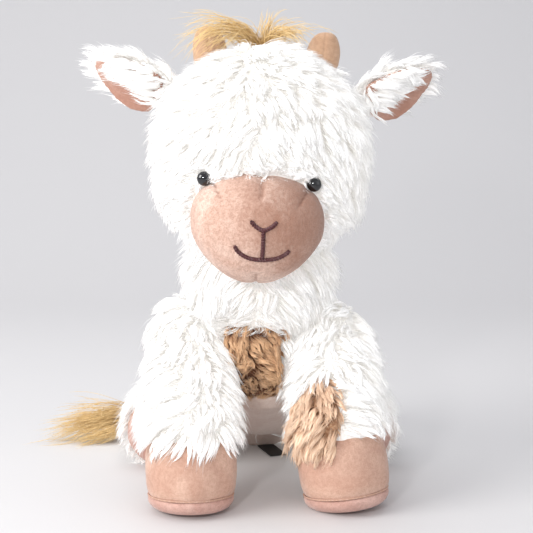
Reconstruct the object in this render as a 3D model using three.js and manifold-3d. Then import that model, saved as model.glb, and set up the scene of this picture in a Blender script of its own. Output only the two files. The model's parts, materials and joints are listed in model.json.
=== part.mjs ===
// A seated plush goat, built as its sewn pieces: fur skins, stuffing, velour trims, eyes and hair.
// Millimetres, +Z up. The origin is on the ground at the middle of the seat, and the goat faces -Y.
// "left" and "right" are the goat's own: its left side is +X.
import * as THREE from "three";
import { mergeVertices } from "three/addons/utils/BufferGeometryUtils.js";
import Module from "manifold-3d";

const wasm = await Module();
wasm.setup();

// Fits
const GAP = 0.3; // between pieces that are sewn or laid together
const SWING_GAP = 1.2; // between pieces that move past each other
const FUR = 4; // a fur skin: backing and packed pile
const VELOUR = 2; // a velour skin

// Torso: half widths and half depths of its sections, from the seat up to the neck
const SEAT_HALF_WIDTH = 50;
const SEAT_HALF_DEPTH = 38;
const SEAT_SETTLE = 6; // how far the stuffed seat presses flat on the ground
const RUMP_HEIGHT = 34;
const RUMP_HALF_WIDTH = 60;
const RUMP_HALF_DEPTH = 45;
const WAIST_HALF_WIDTH = 58;
const WAIST_HALF_DEPTH = 47;
const CHEST_HALF_WIDTH = 54;
const CHEST_HALF_DEPTH = 50;
const COLLAR_HALF_WIDTH = 46;
const COLLAR_HALF_DEPTH = 40;
const CHEST_HEIGHT = 92;
const CHEST_FORWARD = 80;
const WAIST_HEIGHT_SHARE = 0.72; // of the chest's height
const WAIST_FORWARD_SHARE = 0.47;
const COLLAR_RISE = 36; // from the chest section to the collar
const COLLAR_FORWARD = 17;
const PELLET_BAG_HALF_WIDTH = 20;
const PELLET_BAG_HALF_DEPTH = 20;
const PELLET_BAG_HEIGHT = 15;

// Patches and label
const CHEST_PATCH_WIDTH = 34;
const CHEST_PATCH_SIDEWAYS = -3;
const CHEST_PATCH_RISE = 20; // its top, above the chest section
const CHEST_PATCH_BOTTOM = 60;
const BELLY_PANEL_WIDTH = 40;
const BELLY_PANEL_UNDER = 4; // past the front edge of the seat
const LABEL_LENGTH = 28;
const LABEL_WIDTH = 12;
const LABEL_THICKNESS = 0.8;
const LABEL_TURN = 20; // degrees
const LABEL_SIDEWAYS = 4;

// Neck: a stuffed ball of fur fabric that the head sits on
const NECK_RADIUS = 37;
const NECK_ABOVE_COLLAR = 12;
const NECK_SEAM_RADIUS = 14; // the open seam at each end of the neck sleeve

// Head
const HEAD_HALF_WIDTH = 66;
const HEAD_HALF_DEPTH = 56;
const HEAD_HALF_HEIGHT = 70;
const HEAD_FORWARD = 17; // its middle, ahead of the neck
const HEAD_SIDEWAYS = -2.7;
const HEAD_RISE = 7; // its underside, above the middle of the neck
const HEAD_LEAN = 3; // degrees, towards the goat's left

// Muzzle and its embroidery
const MUZZLE_HALF_WIDTH = 42;
const MUZZLE_HALF_HEIGHT = 36;
const MUZZLE_HALF_DEPTH = 34;
const MUZZLE_STAND_OUT = 20; // ahead of the face
const MUZZLE_DROP = 39.5; // its middle, below the middle of the head
const MUZZLE_NARROWING = 0.16; // at its lower edge
const STITCH_WIDTH = 2;
const STITCH_HEIGHT = 0.8;
const STITCH_SIDEWAYS = 4;
const NOSE_WIDTH = 16;
const NOSE_DIP = 4.5;
const NOSE_ABOVE_MIDDLE = 1.5;
const SMILE_WIDTH = 33;
const SMILE_DIP = 6.5;
const SMILE_BELOW_MIDDLE = 16.5;

// Eyes: a domed head, a stem through the skin and a locking washer behind it
const EYE_RADIUS = 4.5;
const EYE_DOME = 3.6;
const EYE_SPACING = 67;
const EYE_ABOVE_MUZZLE = 0.2;
const EYE_STEM_RADIUS = 1.6;
const EYE_STEM_LENGTH = 10;
const WASHER_RADIUS = 6.5;
const WASHER_THICKNESS = 1.6;

// Horns, forelock and ears
const HORN_RADIUS = 12;
const HORN_HEIGHT = 30; // above the crown where it stands
const HORN_SPACING = 72;
const HORN_BEHIND_MIDDLE = 20;
const FORELOCK_CLEARANCE = 3; // to each horn
const FORELOCK_HALF_WIDTH = 15;
const FORELOCK_HEIGHT = 9;
const EAR_LENGTH = 56;
const EAR_HALF_WIDTH = 23;
const EAR_HALF_THICKNESS = 6;
const EAR_CUP = 6; // how far its long edges curl forward
const EAR_ROOT_RADIUS = 7;
const EAR_LINING = 4.6;
const EAR_OFF_HEAD = 4; // its pivot, outside the head's skin
const EAR_ABOVE_MIDDLE = 36;
const EAR_BEHIND_MIDDLE = 14;
const EAR_RAISE_LEFT = 26; // degrees above level, before the head leans
const EAR_RAISE_RIGHT = 20;
const EAR_TURN = 46; // degrees that the lining looks down

// Front legs
const SHOULDER_RADIUS = 25;
const SHOULDER_SPACING = 96;
const FRONT_SLEEVE_RADIUS = 32; // at the cuff
const FRONT_FOOT_RIGHT = { x: -42, y: -160, lean: 6, roll: 0 };
const FRONT_FOOT_LEFT = { x: 56, y: -154, lean: 6, roll: -7 };
const FRONT_CUFF_HEIGHT = 40;
const FRONT_SWING = [-4, 20, 45]; // degrees forward that the torso leaves room for
const LEG_PATCH_INWARD = 22; // from the middle of the foot
const LEG_PATCH_HALF_WIDTH = 15;
const LEG_PATCH_HALF_HEIGHT = 26;
const LEG_PATCH_HEIGHT = 60;

// Hind legs
const HIP_RADIUS = 30;
const HIP_SPACING = 116;
const HIP_SETTLE = 2; // how far the haunch presses flat on the ground
const HIP_FORWARD = 4;
const HIND_SLEEVE_RADIUS = 28;
const HIND_FOOT_SPACING = 136;
const HIND_FOOT_FORWARD = 79;
const HIND_CUFF_LENGTH = 32; // from the sole to the cuff
const HIND_FOOT_LEAN = 88; // degrees: the sole looks forward
const HIND_SPREAD = [0, 15, 30]; // degrees outward that the torso leaves room for

// Hooves: velour boots with a separate sole
const HOOF_RADIUS = 28;
const HIND_HOOF_RADIUS = 25;
const HOOF_HEIGHT = 50;
const HIND_HOOF_HEIGHT = 42;
const HIND_HOOF_SETTLE = 1; // how far its round side presses flat
const SOLE_INSET = 3;
const SOLE_THICKNESS = 6;

// Tail
const TAIL_HEIGHT = 24;
const TAIL_RADIUS = 6;
const TAIL_TUFT_RADIUS = 13;
const TAIL_REACH = 98; // sideways to the start of the tuft
const TAIL_TUFT_LENGTH = 68;
const TAIL_END_FORWARD = 4; // the tuft's start, behind the origin

const FAR = 400; // well outside the goat

const radians = THREE.MathUtils.degToRad;
const vector = (x, y, z) => new THREE.Vector3(x, y, z);

// ---------------------------------------------------------------- solids

function bare(geometry) {
  const copy = geometry.clone();
  copy.deleteAttribute("normal");
  copy.deleteAttribute("uv");
  return mergeVertices(copy, 1e-4);
}

function solidOf(geometry) {
  const merged = bare(geometry);
  return new wasm.Manifold(
    new wasm.Mesh({
      numProp: 3,
      vertProperties: merged.attributes.position.array,
      triVerts: new Uint32Array(merged.index.array),
    }),
  );
}

// The largest body of a solid, as a geometry: a cut can leave slivers beside it.
function geometryOf(solid) {
  const bodies = solid.decompose();
  bodies.sort((a, b) => b.volume() - a.volume());
  const mesh = bodies[0].getMesh();
  const geometry = new THREE.BufferGeometry();
  geometry.setAttribute("position", new THREE.BufferAttribute(mesh.vertProperties, 3));
  geometry.setIndex(new THREE.BufferAttribute(mesh.triVerts, 1));
  const faceted = geometry.toNonIndexed();
  faceted.computeVertexNormals();
  return faceted;
}

function less(geometry, cutters) {
  return cutters.reduce((rest, cutter) => rest.subtract(solidOf(cutter)), solidOf(geometry));
}

const carved = (geometry, cutters) => geometryOf(less(geometry, cutters));
const carvedWithin = (geometry, region, cutters) =>
  geometryOf(less(geometry, cutters).intersect(solidOf(region)));

// The same form with its surface moved out by a distance, or in by a negative one.
function grown(geometry, distance) {
  const form = bare(geometry);
  form.computeVertexNormals();
  const place = form.attributes.position;
  const normal = form.attributes.normal;
  for (let i = 0; i < place.count; i++) {
    place.setXYZ(
      i,
      place.getX(i) + distance * normal.getX(i),
      place.getY(i) + distance * normal.getY(i),
      place.getZ(i) + distance * normal.getZ(i),
    );
  }
  form.deleteAttribute("normal");
  return form;
}

// A closed stuffed form: the rings of a sphere carried along a spine of stations. Each station is
// [place, half width, half depth], and its width runs along "across".
function softForm(stations, { around = 20, along = 11, fullness = 0.6, across = vector(1, 0, 0) } = {}) {
  const spine = new THREE.CatmullRomCurve3(stations.map(([place]) => place));
  const halves = new THREE.CatmullRomCurve3(stations.map(([, wide, deep]) => vector(wide, deep, 0)));
  const form = new THREE.SphereGeometry(1, around, along);
  const place = form.attributes.position;
  const ring = new THREE.Vector2();
  for (let i = 0; i < place.count; i++) {
    const t = THREE.MathUtils.clamp((1 - place.getY(i)) / 2, 0, 1);
    ring.set(place.getX(i), place.getZ(i));
    const spread = ring.length() > 1e-6 ? ring.length() ** (fullness - 1) : 0;
    const tangent = spine.getTangent(t);
    const wide = across.clone().addScaledVector(tangent, -across.dot(tangent)).normalize();
    const deep = tangent.clone().cross(wide);
    const half = halves.getPoint(t);
    const point = spine
      .getPoint(t)
      .addScaledVector(wide, ring.x * spread * half.x)
      .addScaledVector(deep, ring.y * spread * half.y);
    place.setXYZ(i, point.x, point.y, point.z);
  }
  return form;
}

const ball = (centre, radius, around = 16, along = 9) =>
  new THREE.SphereGeometry(radius, around, along).rotateX(Math.PI / 2).translate(...centre);

const block = (from, to) =>
  new THREE.BoxGeometry(to.x - from.x, to.y - from.y, to.z - from.z).translate(
    (from.x + to.x) / 2,
    (from.y + to.y) / 2,
    (from.z + to.z) / 2,
  );

// Everything below the ground, seen from a frame whose origin is at this height.
const groundBelow = (height) => block(vector(-FAR, -FAR, -height - FAR), vector(FAR, FAR, -height));

// Where a ray meets a form.
function surfacePoint(geometry, from, direction) {
  const target = new THREE.Mesh(geometry, new THREE.MeshBasicMaterial({ side: THREE.DoubleSide }));
  return new THREE.Raycaster(from, direction.clone().normalize()).intersectObject(target)[0].point;
}

function piece(name, geometry, colour, roughness = 0.9) {
  const material = new THREE.MeshStandardMaterial({ color: colour, roughness, metalness: 0 });
  const mesh = new THREE.Mesh(geometry, material);
  mesh.name = name;
  return mesh;
}

function frameAt(place, ...meshes) {
  const group = new THREE.Group();
  group.position.copy(place);
  group.add(...meshes);
  return group;
}

// ---------------------------------------------------------------- places

const collar = vector(0, -CHEST_FORWARD - COLLAR_FORWARD, CHEST_HEIGHT + COLLAR_RISE);
const neckPivot = collar.clone().add(vector(0, 0, NECK_ABOVE_COLLAR));
const shoulderReach = NECK_RADIUS + SHOULDER_RADIUS + SWING_GAP;
const shoulderDrop = Math.sqrt(shoulderReach ** 2 - (SHOULDER_SPACING / 2) ** 2);
const shoulderPivot = (side) =>
  vector((side * SHOULDER_SPACING) / 2, neckPivot.y, neckPivot.z - shoulderDrop);
const hipPivot = (side) => vector((side * HIP_SPACING) / 2, -HIP_FORWARD, HIP_RADIUS - HIP_SETTLE);

const COLOURS = {
  fur: "#f3f0ea",
  stuffing: "#fbfaf6",
  velour: "#d0a184",
  sole: "#b9846c",
  curl: "#c8965f",
  belly: "#e6cfc2",
  hair: "#d9a962",
  thread: "#4e1c1e",
  eye: "#08080a",
  label: "#111112",
  pellets: "#cfd3d6",
};

// ---------------------------------------------------------------- legs

// A lathe turned from a profile of [radius, height] points, standing on its Z axis.
const turned = (profile, around = 14) =>
  new THREE.LatheGeometry(profile.map(([radius, height]) => new THREE.Vector2(radius, height)), around)
    .rotateX(Math.PI / 2);

// A hoof boot's outside from its sole seam up to its cuff, in a frame that stands on the sole.
const hoofProfile = (radius, bottom, top) => [
  [0, bottom],
  [radius - SOLE_INSET, bottom],
  [radius - 0.8, SOLE_THICKNESS + 5],
  [radius, SOLE_THICKNESS + 12],
  [radius - 1, (SOLE_THICKNESS + top) / 2 + 6],
  [radius - 2.5, top],
  [0, top],
];

const soleProfile = (radius) => [
  [0, 0],
  [radius * 0.6, 0.6],
  [radius - SOLE_INSET - 2, 2.2],
  [radius - SOLE_INSET, SOLE_THICKNESS - GAP],
  [0, SOLE_THICKNESS - GAP],
];

// A leg in a frame at its pivot: a fur sleeve over stuffing, and a hoof boot with its sole.
// Its form also tells the torso how much room it needs.
function leg(name, pivot, foot) {
  const place = new THREE.Matrix4()
    .makeRotationFromEuler(new THREE.Euler(-radians(foot.lean), radians(foot.roll), 0))
    .setPosition(foot.at.clone().sub(pivot));
  const inPlace = (geometry) => geometry.applyMatrix4(place);
  const onFoot = (height) => vector(0, 0, height).applyMatrix4(place);
  const belowOnFoot = (height) => inPlace(block(vector(-FAR, -FAR, -FAR), vector(FAR, FAR, height)));
  const outward = onFoot(foot.cuff).normalize();
  const root = foot.rootRadius;
  const sleeve = foot.sleeveRadius;
  const form = softForm(
    [
      [outward.clone().multiplyScalar(-root * 0.95), root * 0.8, root * 0.8],
      [outward.clone().multiplyScalar(-root * 0.2), root, root],
      [onFoot(foot.cuff).multiplyScalar(0.5), (root + sleeve) / 2, (root + sleeve) / 2],
      [onFoot(foot.cuff + 6), sleeve, sleeve],
      [onFoot(foot.cuff - 24), sleeve, sleeve],
    ],
    { around: 12, along: 9, fullness: 0.5 },
  );
  const ground = groundBelow(pivot.z);
  const core = carved(grown(form, -FUR), [groundBelow(pivot.z - FUR)]);
  const seam = ball(vector(-Math.sign(pivot.x) * root, 0, 4), root * 0.5, 12, 8);
  const skin = less(form, [core, seam, belowOnFoot(foot.cuff), ground]);
  const inner = grown(form, -FUR - GAP);
  const cuffRoom = carved(grown(form, FUR), [inner, belowOnFoot(foot.cuff - GAP)]);
  const boot = inPlace(turned(hoofProfile(foot.radius, SOLE_THICKNESS, foot.top)));
  const bootHollow = carved(inPlace(turned(hoofProfile(foot.radius - VELOUR, 0, foot.top + 1))), [
    groundBelow(pivot.z - VELOUR),
  ]);
  const coreRadius = foot.radius - VELOUR - GAP;
  const bootCore = inPlace(turned(hoofProfile(coreRadius, SOLE_THICKNESS, foot.top + 1)));
  const stuffing = less(inner, [belowOnFoot(foot.top + GAP)])
    .add(less(bootCore, [cuffRoom]))
    .subtract(solidOf(groundBelow(pivot.z - FUR - GAP)));
  const sole = inPlace(turned(soleProfile(foot.radius)));
  return {
    name,
    pivot,
    form,
    skin,
    stuffing: piece(name + "_stuffing", geometryOf(stuffing), COLOURS.stuffing, 1),
    hoof: piece(name + "_hoof", carved(boot, [bootHollow, cuffRoom, ground]), COLOURS.velour),
    sole: piece(name + "_sole", carved(sole, [ground]), COLOURS.sole),
  };
}

// The room that a leg needs: its form, grown, at each angle of its range.
const sweptRoom = ({ form, pivot }, axis, angles) =>
  angles.map((angle) =>
    grown(form, SWING_GAP)
      .applyMatrix4(new THREE.Matrix4().makeRotationAxis(axis, radians(angle)))
      .translate(...pivot),
  );

const frontLeg = (name, side, foot) =>
  leg(name, shoulderPivot(side), {
    at: vector(foot.x, foot.y, 0),
    lean: foot.lean,
    roll: foot.roll,
    radius: HOOF_RADIUS,
    top: HOOF_HEIGHT,
    cuff: FRONT_CUFF_HEIGHT,
    rootRadius: SHOULDER_RADIUS,
    sleeveRadius: FRONT_SLEEVE_RADIUS,
  });

const hindLeg = (name, side) =>
  leg(name, hipPivot(side), {
    at: vector((side * HIND_FOOT_SPACING) / 2, -HIND_FOOT_FORWARD, HIND_HOOF_RADIUS - HIND_HOOF_SETTLE),
    lean: HIND_FOOT_LEAN,
    roll: 0,
    radius: HIND_HOOF_RADIUS,
    top: HIND_HOOF_HEIGHT,
    cuff: HIND_CUFF_LENGTH,
    rootRadius: HIP_RADIUS,
    sleeveRadius: HIND_SLEEVE_RADIUS,
  });

const legGroup = ({ name, pivot, skin, stuffing, hoof, sole }) =>
  frameAt(pivot, piece(name + "_sleeve", geometryOf(skin), COLOURS.fur), stuffing, hoof, sole);

// The left front leg has a curly patch let into the inner front of its sleeve.
function patchedLegGroup(built) {
  const { pivot, skin } = built;
  const middle = vector(
    FRONT_FOOT_LEFT.x - LEG_PATCH_INWARD - pivot.x,
    FRONT_FOOT_LEFT.y - pivot.y - LEG_PATCH_HALF_HEIGHT,
    LEG_PATCH_HEIGHT - pivot.z,
  );
  const region = (grow) =>
    solidOf(
      new THREE.CylinderGeometry(1, 1, FRONT_SLEEVE_RADIUS * 2, 20)
        .scale(LEG_PATCH_HALF_WIDTH + grow, 1, LEG_PATCH_HALF_HEIGHT + grow)
        .translate(...middle),
    );
  const group = legGroup({ ...built, skin: skin.subtract(region(GAP)) });
  group.add(piece(built.name + "_patch", geometryOf(skin.intersect(region(0))), COLOURS.curl));
  return group;
}

const frontLeft = frontLeg("front_leg_left", 1, FRONT_FOOT_LEFT);
const frontRight = frontLeg("front_leg_right", -1, FRONT_FOOT_RIGHT);
const hindLeft = hindLeg("hind_leg_left", 1);
const hindRight = hindLeg("hind_leg_right", -1);

// ---------------------------------------------------------------- torso

const torsoForm = softForm(
  [
    [vector(0, 2, -SEAT_SETTLE), SEAT_HALF_WIDTH, SEAT_HALF_DEPTH],
    [vector(0, 0, RUMP_HEIGHT), RUMP_HALF_WIDTH, RUMP_HALF_DEPTH],
    [
      vector(0, -CHEST_FORWARD * WAIST_FORWARD_SHARE, CHEST_HEIGHT * WAIST_HEIGHT_SHARE),
      WAIST_HALF_WIDTH,
      WAIST_HALF_DEPTH,
    ],
    [vector(0, -CHEST_FORWARD, CHEST_HEIGHT), CHEST_HALF_WIDTH, CHEST_HALF_DEPTH],
    [collar, COLLAR_HALF_WIDTH, COLLAR_HALF_DEPTH],
  ],
  { around: 20, along: 11, fullness: 0.55 },
);

const limbRoom = [
  ...[frontLeft, frontRight].flatMap((built) => sweptRoom(built, vector(-1, 0, 0), FRONT_SWING)),
  ...sweptRoom(hindLeft, vector(0, 0, 1), HIND_SPREAD),
  ...sweptRoom(hindRight, vector(0, 0, -1), HIND_SPREAD),
  ball(neckPivot, NECK_RADIUS + SWING_GAP),
];

const overGround = carved(torsoForm, [groundBelow(0)]);
const seatFront = surfacePoint(overGround, vector(0, -FAR, 1), vector(0, 1, 0));
const seatBack = surfacePoint(overGround, vector(0, FAR, TAIL_HEIGHT), vector(0, -1, 0));
const chestPatchTop = CHEST_HEIGHT + CHEST_PATCH_RISE;

const chestRegion = (grow) =>
  block(
    vector(CHEST_PATCH_SIDEWAYS - CHEST_PATCH_WIDTH / 2 - grow, -FAR, CHEST_PATCH_BOTTOM - grow),
    vector(CHEST_PATCH_SIDEWAYS + CHEST_PATCH_WIDTH / 2 + grow, -CHEST_FORWARD, chestPatchTop + grow),
  );
const bellyRegion = (grow) =>
  block(
    vector(-BELLY_PANEL_WIDTH / 2 - grow, -FAR, -SEAT_SETTLE),
    vector(
      BELLY_PANEL_WIDTH / 2 + grow,
      seatFront.y + BELLY_PANEL_UNDER + grow,
      CHEST_PATCH_BOTTOM - 3 * GAP + grow,
    ),
  );

function bagForm(grow) {
  const wide = PELLET_BAG_HALF_WIDTH + grow;
  const deep = PELLET_BAG_HALF_DEPTH + grow;
  const floor = FUR + 2 * GAP;
  return softForm(
    [
      [vector(0, 0, floor - grow), wide, deep],
      [vector(0, 0, floor + PELLET_BAG_HEIGHT + grow), wide, deep],
    ],
    { around: 12, along: 7 },
  );
}

function torsoMeshes() {
  const core = carved(grown(torsoForm, -FUR), [groundBelow(-FUR)]);
  const wall = [core, groundBelow(0), ...limbRoom];
  const stuffing = carved(grown(torsoForm, -FUR - GAP), [
    groundBelow(-FUR - GAP),
    bagForm(GAP * 2),
    ...limbRoom,
  ]);
  return [
    piece("torso_shell", carved(torsoForm, [...wall, chestRegion(GAP), bellyRegion(GAP)]), COLOURS.fur),
    piece("torso_stuffing", stuffing, COLOURS.stuffing, 1),
    piece("pellet_bag", bagForm(0), COLOURS.pellets),
    piece("chest_patch", carvedWithin(torsoForm, chestRegion(0), wall), COLOURS.curl),
    piece("belly_panel", carvedWithin(torsoForm, bellyRegion(0), wall), COLOURS.belly),
    careLabel(),
  ];
}

// A folded label sewn into the front seam of the seat, lying forward on the ground.
function careLabel() {
  const label = new THREE.BoxGeometry(LABEL_WIDTH, LABEL_LENGTH, LABEL_THICKNESS)
    .translate(0, -LABEL_LENGTH / 2, LABEL_THICKNESS / 2)
    .rotateZ(radians(LABEL_TURN))
    .translate(LABEL_SIDEWAYS, seatFront.y, GAP);
  return piece("care_label", carved(label, [grown(torsoForm, GAP)]), COLOURS.label, 0.6);
}

// ---------------------------------------------------------------- neck

function neckGroup() {
  const middle = vector(0, 0, 0);
  const seam = new THREE.CylinderGeometry(NECK_SEAM_RADIUS, NECK_SEAM_RADIUS, NECK_RADIUS * 3, 16);
  seam.rotateX(Math.PI / 2);
  const sleeve = carved(ball(middle, NECK_RADIUS), [ball(middle, NECK_RADIUS - FUR), seam]);
  return frameAt(
    neckPivot,
    piece("neck_sleeve", sleeve, COLOURS.fur),
    piece("neck_stuffing", ball(middle, NECK_RADIUS - FUR - GAP), COLOURS.stuffing, 1),
  );
}

// ---------------------------------------------------------------- head, in a frame at the neck's middle

const headMiddle = vector(HEAD_SIDEWAYS, -HEAD_FORWARD, HEAD_RISE + HEAD_HALF_HEIGHT);
const headForm = softForm(
  [
    [-1, 0.74, 0.8],
    [-0.5, 1.03, 1.02],
    [0, 1.02, 1.01],
    [0.5, 0.97, 0.97],
    [1, 0.74, 0.78],
  ].map(([height, wide, deep]) => [
    headMiddle.clone().add(vector(0, 0, height * HEAD_HALF_HEIGHT)),
    wide * HEAD_HALF_WIDTH,
    deep * HEAD_HALF_DEPTH,
  ]),
  { around: 20, along: 12, fullness: 0.72 },
);
const headRoom = grown(headForm, GAP);
const neckRoom = ball(vector(0, 0, 0), NECK_RADIUS + SWING_GAP);

// Points on the head's skin: x is counted from the head's middle.
const onFace = (x, z) => surfacePoint(headForm, vector(headMiddle.x + x, -FAR, z), vector(0, 1, 0));
const onCrown = (x, y) => surfacePoint(headForm, vector(headMiddle.x + x, y, FAR), vector(0, 0, -1));
const onSide = (side, y, z) => surfacePoint(headForm, vector(side * FAR, y, z), vector(-side, 0, 0));

const muzzleMiddle = vector(
  headMiddle.x,
  headMiddle.y - HEAD_HALF_DEPTH - MUZZLE_STAND_OUT + MUZZLE_HALF_DEPTH,
  headMiddle.z - MUZZLE_DROP,
);

// A wide oval that narrows a little towards its lower edge.
function makeMuzzleForm() {
  const form = new THREE.SphereGeometry(1, 18, 11).rotateX(Math.PI / 2);
  const place = form.attributes.position;
  for (let i = 0; i < place.count; i++) {
    const down = (1 - place.getZ(i)) / 2;
    place.setX(i, place.getX(i) * (1.04 - MUZZLE_NARROWING * down));
  }
  return form.scale(MUZZLE_HALF_WIDTH, MUZZLE_HALF_DEPTH, MUZZLE_HALF_HEIGHT).translate(...muzzleMiddle);
}
const muzzleForm = makeMuzzleForm();

// A stroke of thread laid over the muzzle: a flat outline with round ends, seen from the front.
function stitch(points) {
  const line = new THREE.CatmullRomCurve3(points.map(([x, z]) => vector(x, 0, z)));
  const along = line.getSpacedPoints(points.length * 4);
  const edge = (side) =>
    along.map((point, i) => {
      const tangent = line.getTangentAt(i / (along.length - 1));
      return new THREE.Vector2(
        point.x - (side * tangent.z * STITCH_WIDTH) / 2,
        point.z + (side * tangent.x * STITCH_WIDTH) / 2,
      );
    });
  const outline = new THREE.Shape([...edge(1), ...edge(-1).reverse()]);
  const prism = new THREE.ExtrudeGeometry(outline, { depth: 100, bevelEnabled: false })
    .rotateX(Math.PI / 2)
    .translate(muzzleMiddle.x + STITCH_SIDEWAYS, muzzleMiddle.y, muzzleMiddle.z);
  return carvedWithin(grown(muzzleForm, GAP + STITCH_HEIGHT), prism, [grown(muzzleForm, GAP), headRoom]);
}

function muzzleMeshes() {
  const shell = carved(muzzleForm, [grown(muzzleForm, -VELOUR), headRoom, neckRoom]);
  const stuffing = carved(grown(muzzleForm, -VELOUR - GAP), [headRoom, neckRoom]);
  const nose = stitch([
    [-NOSE_WIDTH / 2, NOSE_ABOVE_MIDDLE + NOSE_DIP],
    [0, NOSE_ABOVE_MIDDLE],
    [NOSE_WIDTH / 2, NOSE_ABOVE_MIDDLE + NOSE_DIP],
  ]);
  const lip = stitch([
    [0, NOSE_ABOVE_MIDDLE - STITCH_WIDTH / 2 - GAP],
    [0, -SMILE_BELOW_MIDDLE + STITCH_WIDTH / 2 + GAP],
  ]);
  const smile = stitch([
    [-SMILE_WIDTH / 2, -SMILE_BELOW_MIDDLE + SMILE_DIP],
    [-SMILE_WIDTH / 4, -SMILE_BELOW_MIDDLE + SMILE_DIP / 4],
    [0, -SMILE_BELOW_MIDDLE],
    [SMILE_WIDTH / 4, -SMILE_BELOW_MIDDLE + SMILE_DIP / 4],
    [SMILE_WIDTH / 2, -SMILE_BELOW_MIDDLE + SMILE_DIP],
  ]);
  return [
    piece("muzzle_shell", shell, COLOURS.velour),
    piece("muzzle_stuffing", stuffing, COLOURS.stuffing, 1),
    piece("nose_stitch", nose, COLOURS.thread),
    piece("lip_stitch", lip, COLOURS.thread),
    piece("smile_stitch", smile, COLOURS.thread),
  ];
}

// One eye's pieces and the room they need, with the stem pointing into the head.
function eyeParts(side, name) {
  const x = (side * EYE_SPACING) / 2;
  const across = Math.min(Math.abs(x) / MUZZLE_HALF_WIDTH, 1);
  const muzzleEdge = muzzleMiddle.z + MUZZLE_HALF_HEIGHT * Math.sqrt(1 - across ** 2);
  const z = muzzleEdge + EYE_ABOVE_MUZZLE + EYE_RADIUS;
  const seat = onFace(x, z);
  const slope = onFace(x + 3, z).sub(onFace(x - 3, z));
  const inPlace = (geometry) =>
    geometry.rotateX(Math.PI / 2).rotateZ(Math.atan2(slope.y, slope.x)).translate(...seat);
  const post = (radius, from, to) =>
    inPlace(
      turned(
        [
          [0, from],
          [radius, from],
          [radius, to],
          [0, to],
        ],
        10,
      ),
    );
  const dome = inPlace(
    turned(
      [0, 22, 45, 68, 90]
        .map((angle) => [EYE_RADIUS * Math.cos(radians(angle)), EYE_DOME * Math.sin(radians(angle))])
        .reduce((profile, point) => [...profile, point], [[0, -2], [EYE_RADIUS, -2]]),
      12,
    ),
  );
  const washerTop = -FUR - GAP * 2 - 1;
  const eye = less(dome, [headRoom]).add(solidOf(post(EYE_STEM_RADIUS, -EYE_STEM_LENGTH, EYE_DOME / 2)));
  const washer = carved(post(WASHER_RADIUS, washerTop - WASHER_THICKNESS, washerTop), [
    post(EYE_STEM_RADIUS + GAP, -EYE_STEM_LENGTH * 2, 5),
  ]);
  return {
    meshes: [
      piece("eye_" + name, geometryOf(eye), COLOURS.eye, 0.08),
      piece("eye_washer_" + name, washer, COLOURS.pellets, 0.5),
    ],
    stemRoom: post(EYE_STEM_RADIUS + GAP, -EYE_STEM_LENGTH * 2, 5),
    washerRoom: post(WASHER_RADIUS + GAP, -EYE_STEM_LENGTH - 1, 5),
  };
}

function horn(side, name) {
  const stand = onCrown((side * HORN_SPACING) / 2, headMiddle.y + HORN_BEHIND_MIDDLE);
  const form = softForm(
    [
      [stand.clone().add(vector(-side * 2, 0, -HORN_RADIUS * 1.4)), HORN_RADIUS, HORN_RADIUS],
      [stand, HORN_RADIUS, HORN_RADIUS],
      [stand.clone().add(vector(side * 2, 0, HORN_HEIGHT)), HORN_RADIUS, HORN_RADIUS],
    ],
    { around: 14, along: 8, fullness: 0.55 },
  );
  return piece("horn_" + name, carved(form, [headRoom]), COLOURS.velour);
}

// A tuft of long hair sewn across the crown between the horns.
function forelock() {
  const halfLength = HORN_SPACING / 2 - HORN_RADIUS - FORELOCK_CLEARANCE;
  const y = headMiddle.y + HORN_BEHIND_MIDDLE - 4;
  const form = softForm(
    [-1, -0.4, 0.4, 1].map((share) => {
      const root = onCrown(share * halfLength, y);
      return [root.add(vector(0, 0, share ** 2 < 0.5 ? 2 : 0)), FORELOCK_HALF_WIDTH, FORELOCK_HEIGHT];
    }),
    { around: 12, along: 7, across: vector(0, 1, 0) },
  );
  return piece("forelock", carved(form, [headRoom]), COLOURS.hair);
}

// ---------------------------------------------------------------- ears, each in a frame at its root

const cupped = (geometry) => {
  const place = geometry.attributes.position;
  for (let i = 0; i < place.count; i++) {
    place.setY(i, place.getY(i) - EAR_CUP * (place.getZ(i) / EAR_HALF_WIDTH) ** 2);
  }
  return geometry;
};

function earGroup(side, name, raise) {
  const seam = -EAR_HALF_THICKNESS + EAR_LINING;
  const leaf = cupped(
    softForm(
      [
        [vector(-side * EAR_ROOT_RADIUS, 0, 0), EAR_ROOT_RADIUS, EAR_ROOT_RADIUS * 0.8],
        [vector(side * EAR_LENGTH * 0.2, 0, 0), EAR_HALF_WIDTH * 0.85, EAR_HALF_THICKNESS],
        [vector(side * EAR_LENGTH * 0.5, 0, 0), EAR_HALF_WIDTH, EAR_HALF_THICKNESS],
        [vector(side * EAR_LENGTH, 0, 0), EAR_HALF_WIDTH * 0.6, EAR_HALF_THICKNESS * 0.7],
      ],
      { around: 12, along: 9, fullness: 0.7, across: vector(0, 0, 1) },
    ),
  );
  const slab = (from, to) =>
    cupped(new THREE.BoxGeometry(300, to - from, 60, 1, 1, 8).translate(0, (from + to) / 2, 0));
  const liningSlab = slab(seam - 40, seam);
  const lining = solidOf(leaf)
    .intersect(solidOf(liningSlab))
    .intersect(solidOf(ball(vector(side * EAR_LENGTH, 0, 0), EAR_LENGTH - EAR_ROOT_RADIUS)));
  const group = frameAt(
    earPivot(side),
    piece("ear_outer_" + name, carvedWithin(leaf, slab(seam + GAP, 40), []), COLOURS.fur),
    piece("ear_lining_" + name, geometryOf(lining), COLOURS.velour),
  );
  group.rotation.set(radians(EAR_TURN), -side * radians(raise), 0, "YXZ");
  return group;
}

const earPivot = (side) =>
  onSide(side, headMiddle.y + EAR_BEHIND_MIDDLE, headMiddle.z + EAR_ABOVE_MIDDLE).add(
    vector(side * EAR_OFF_HEAD, 0, 0),
  );

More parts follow.
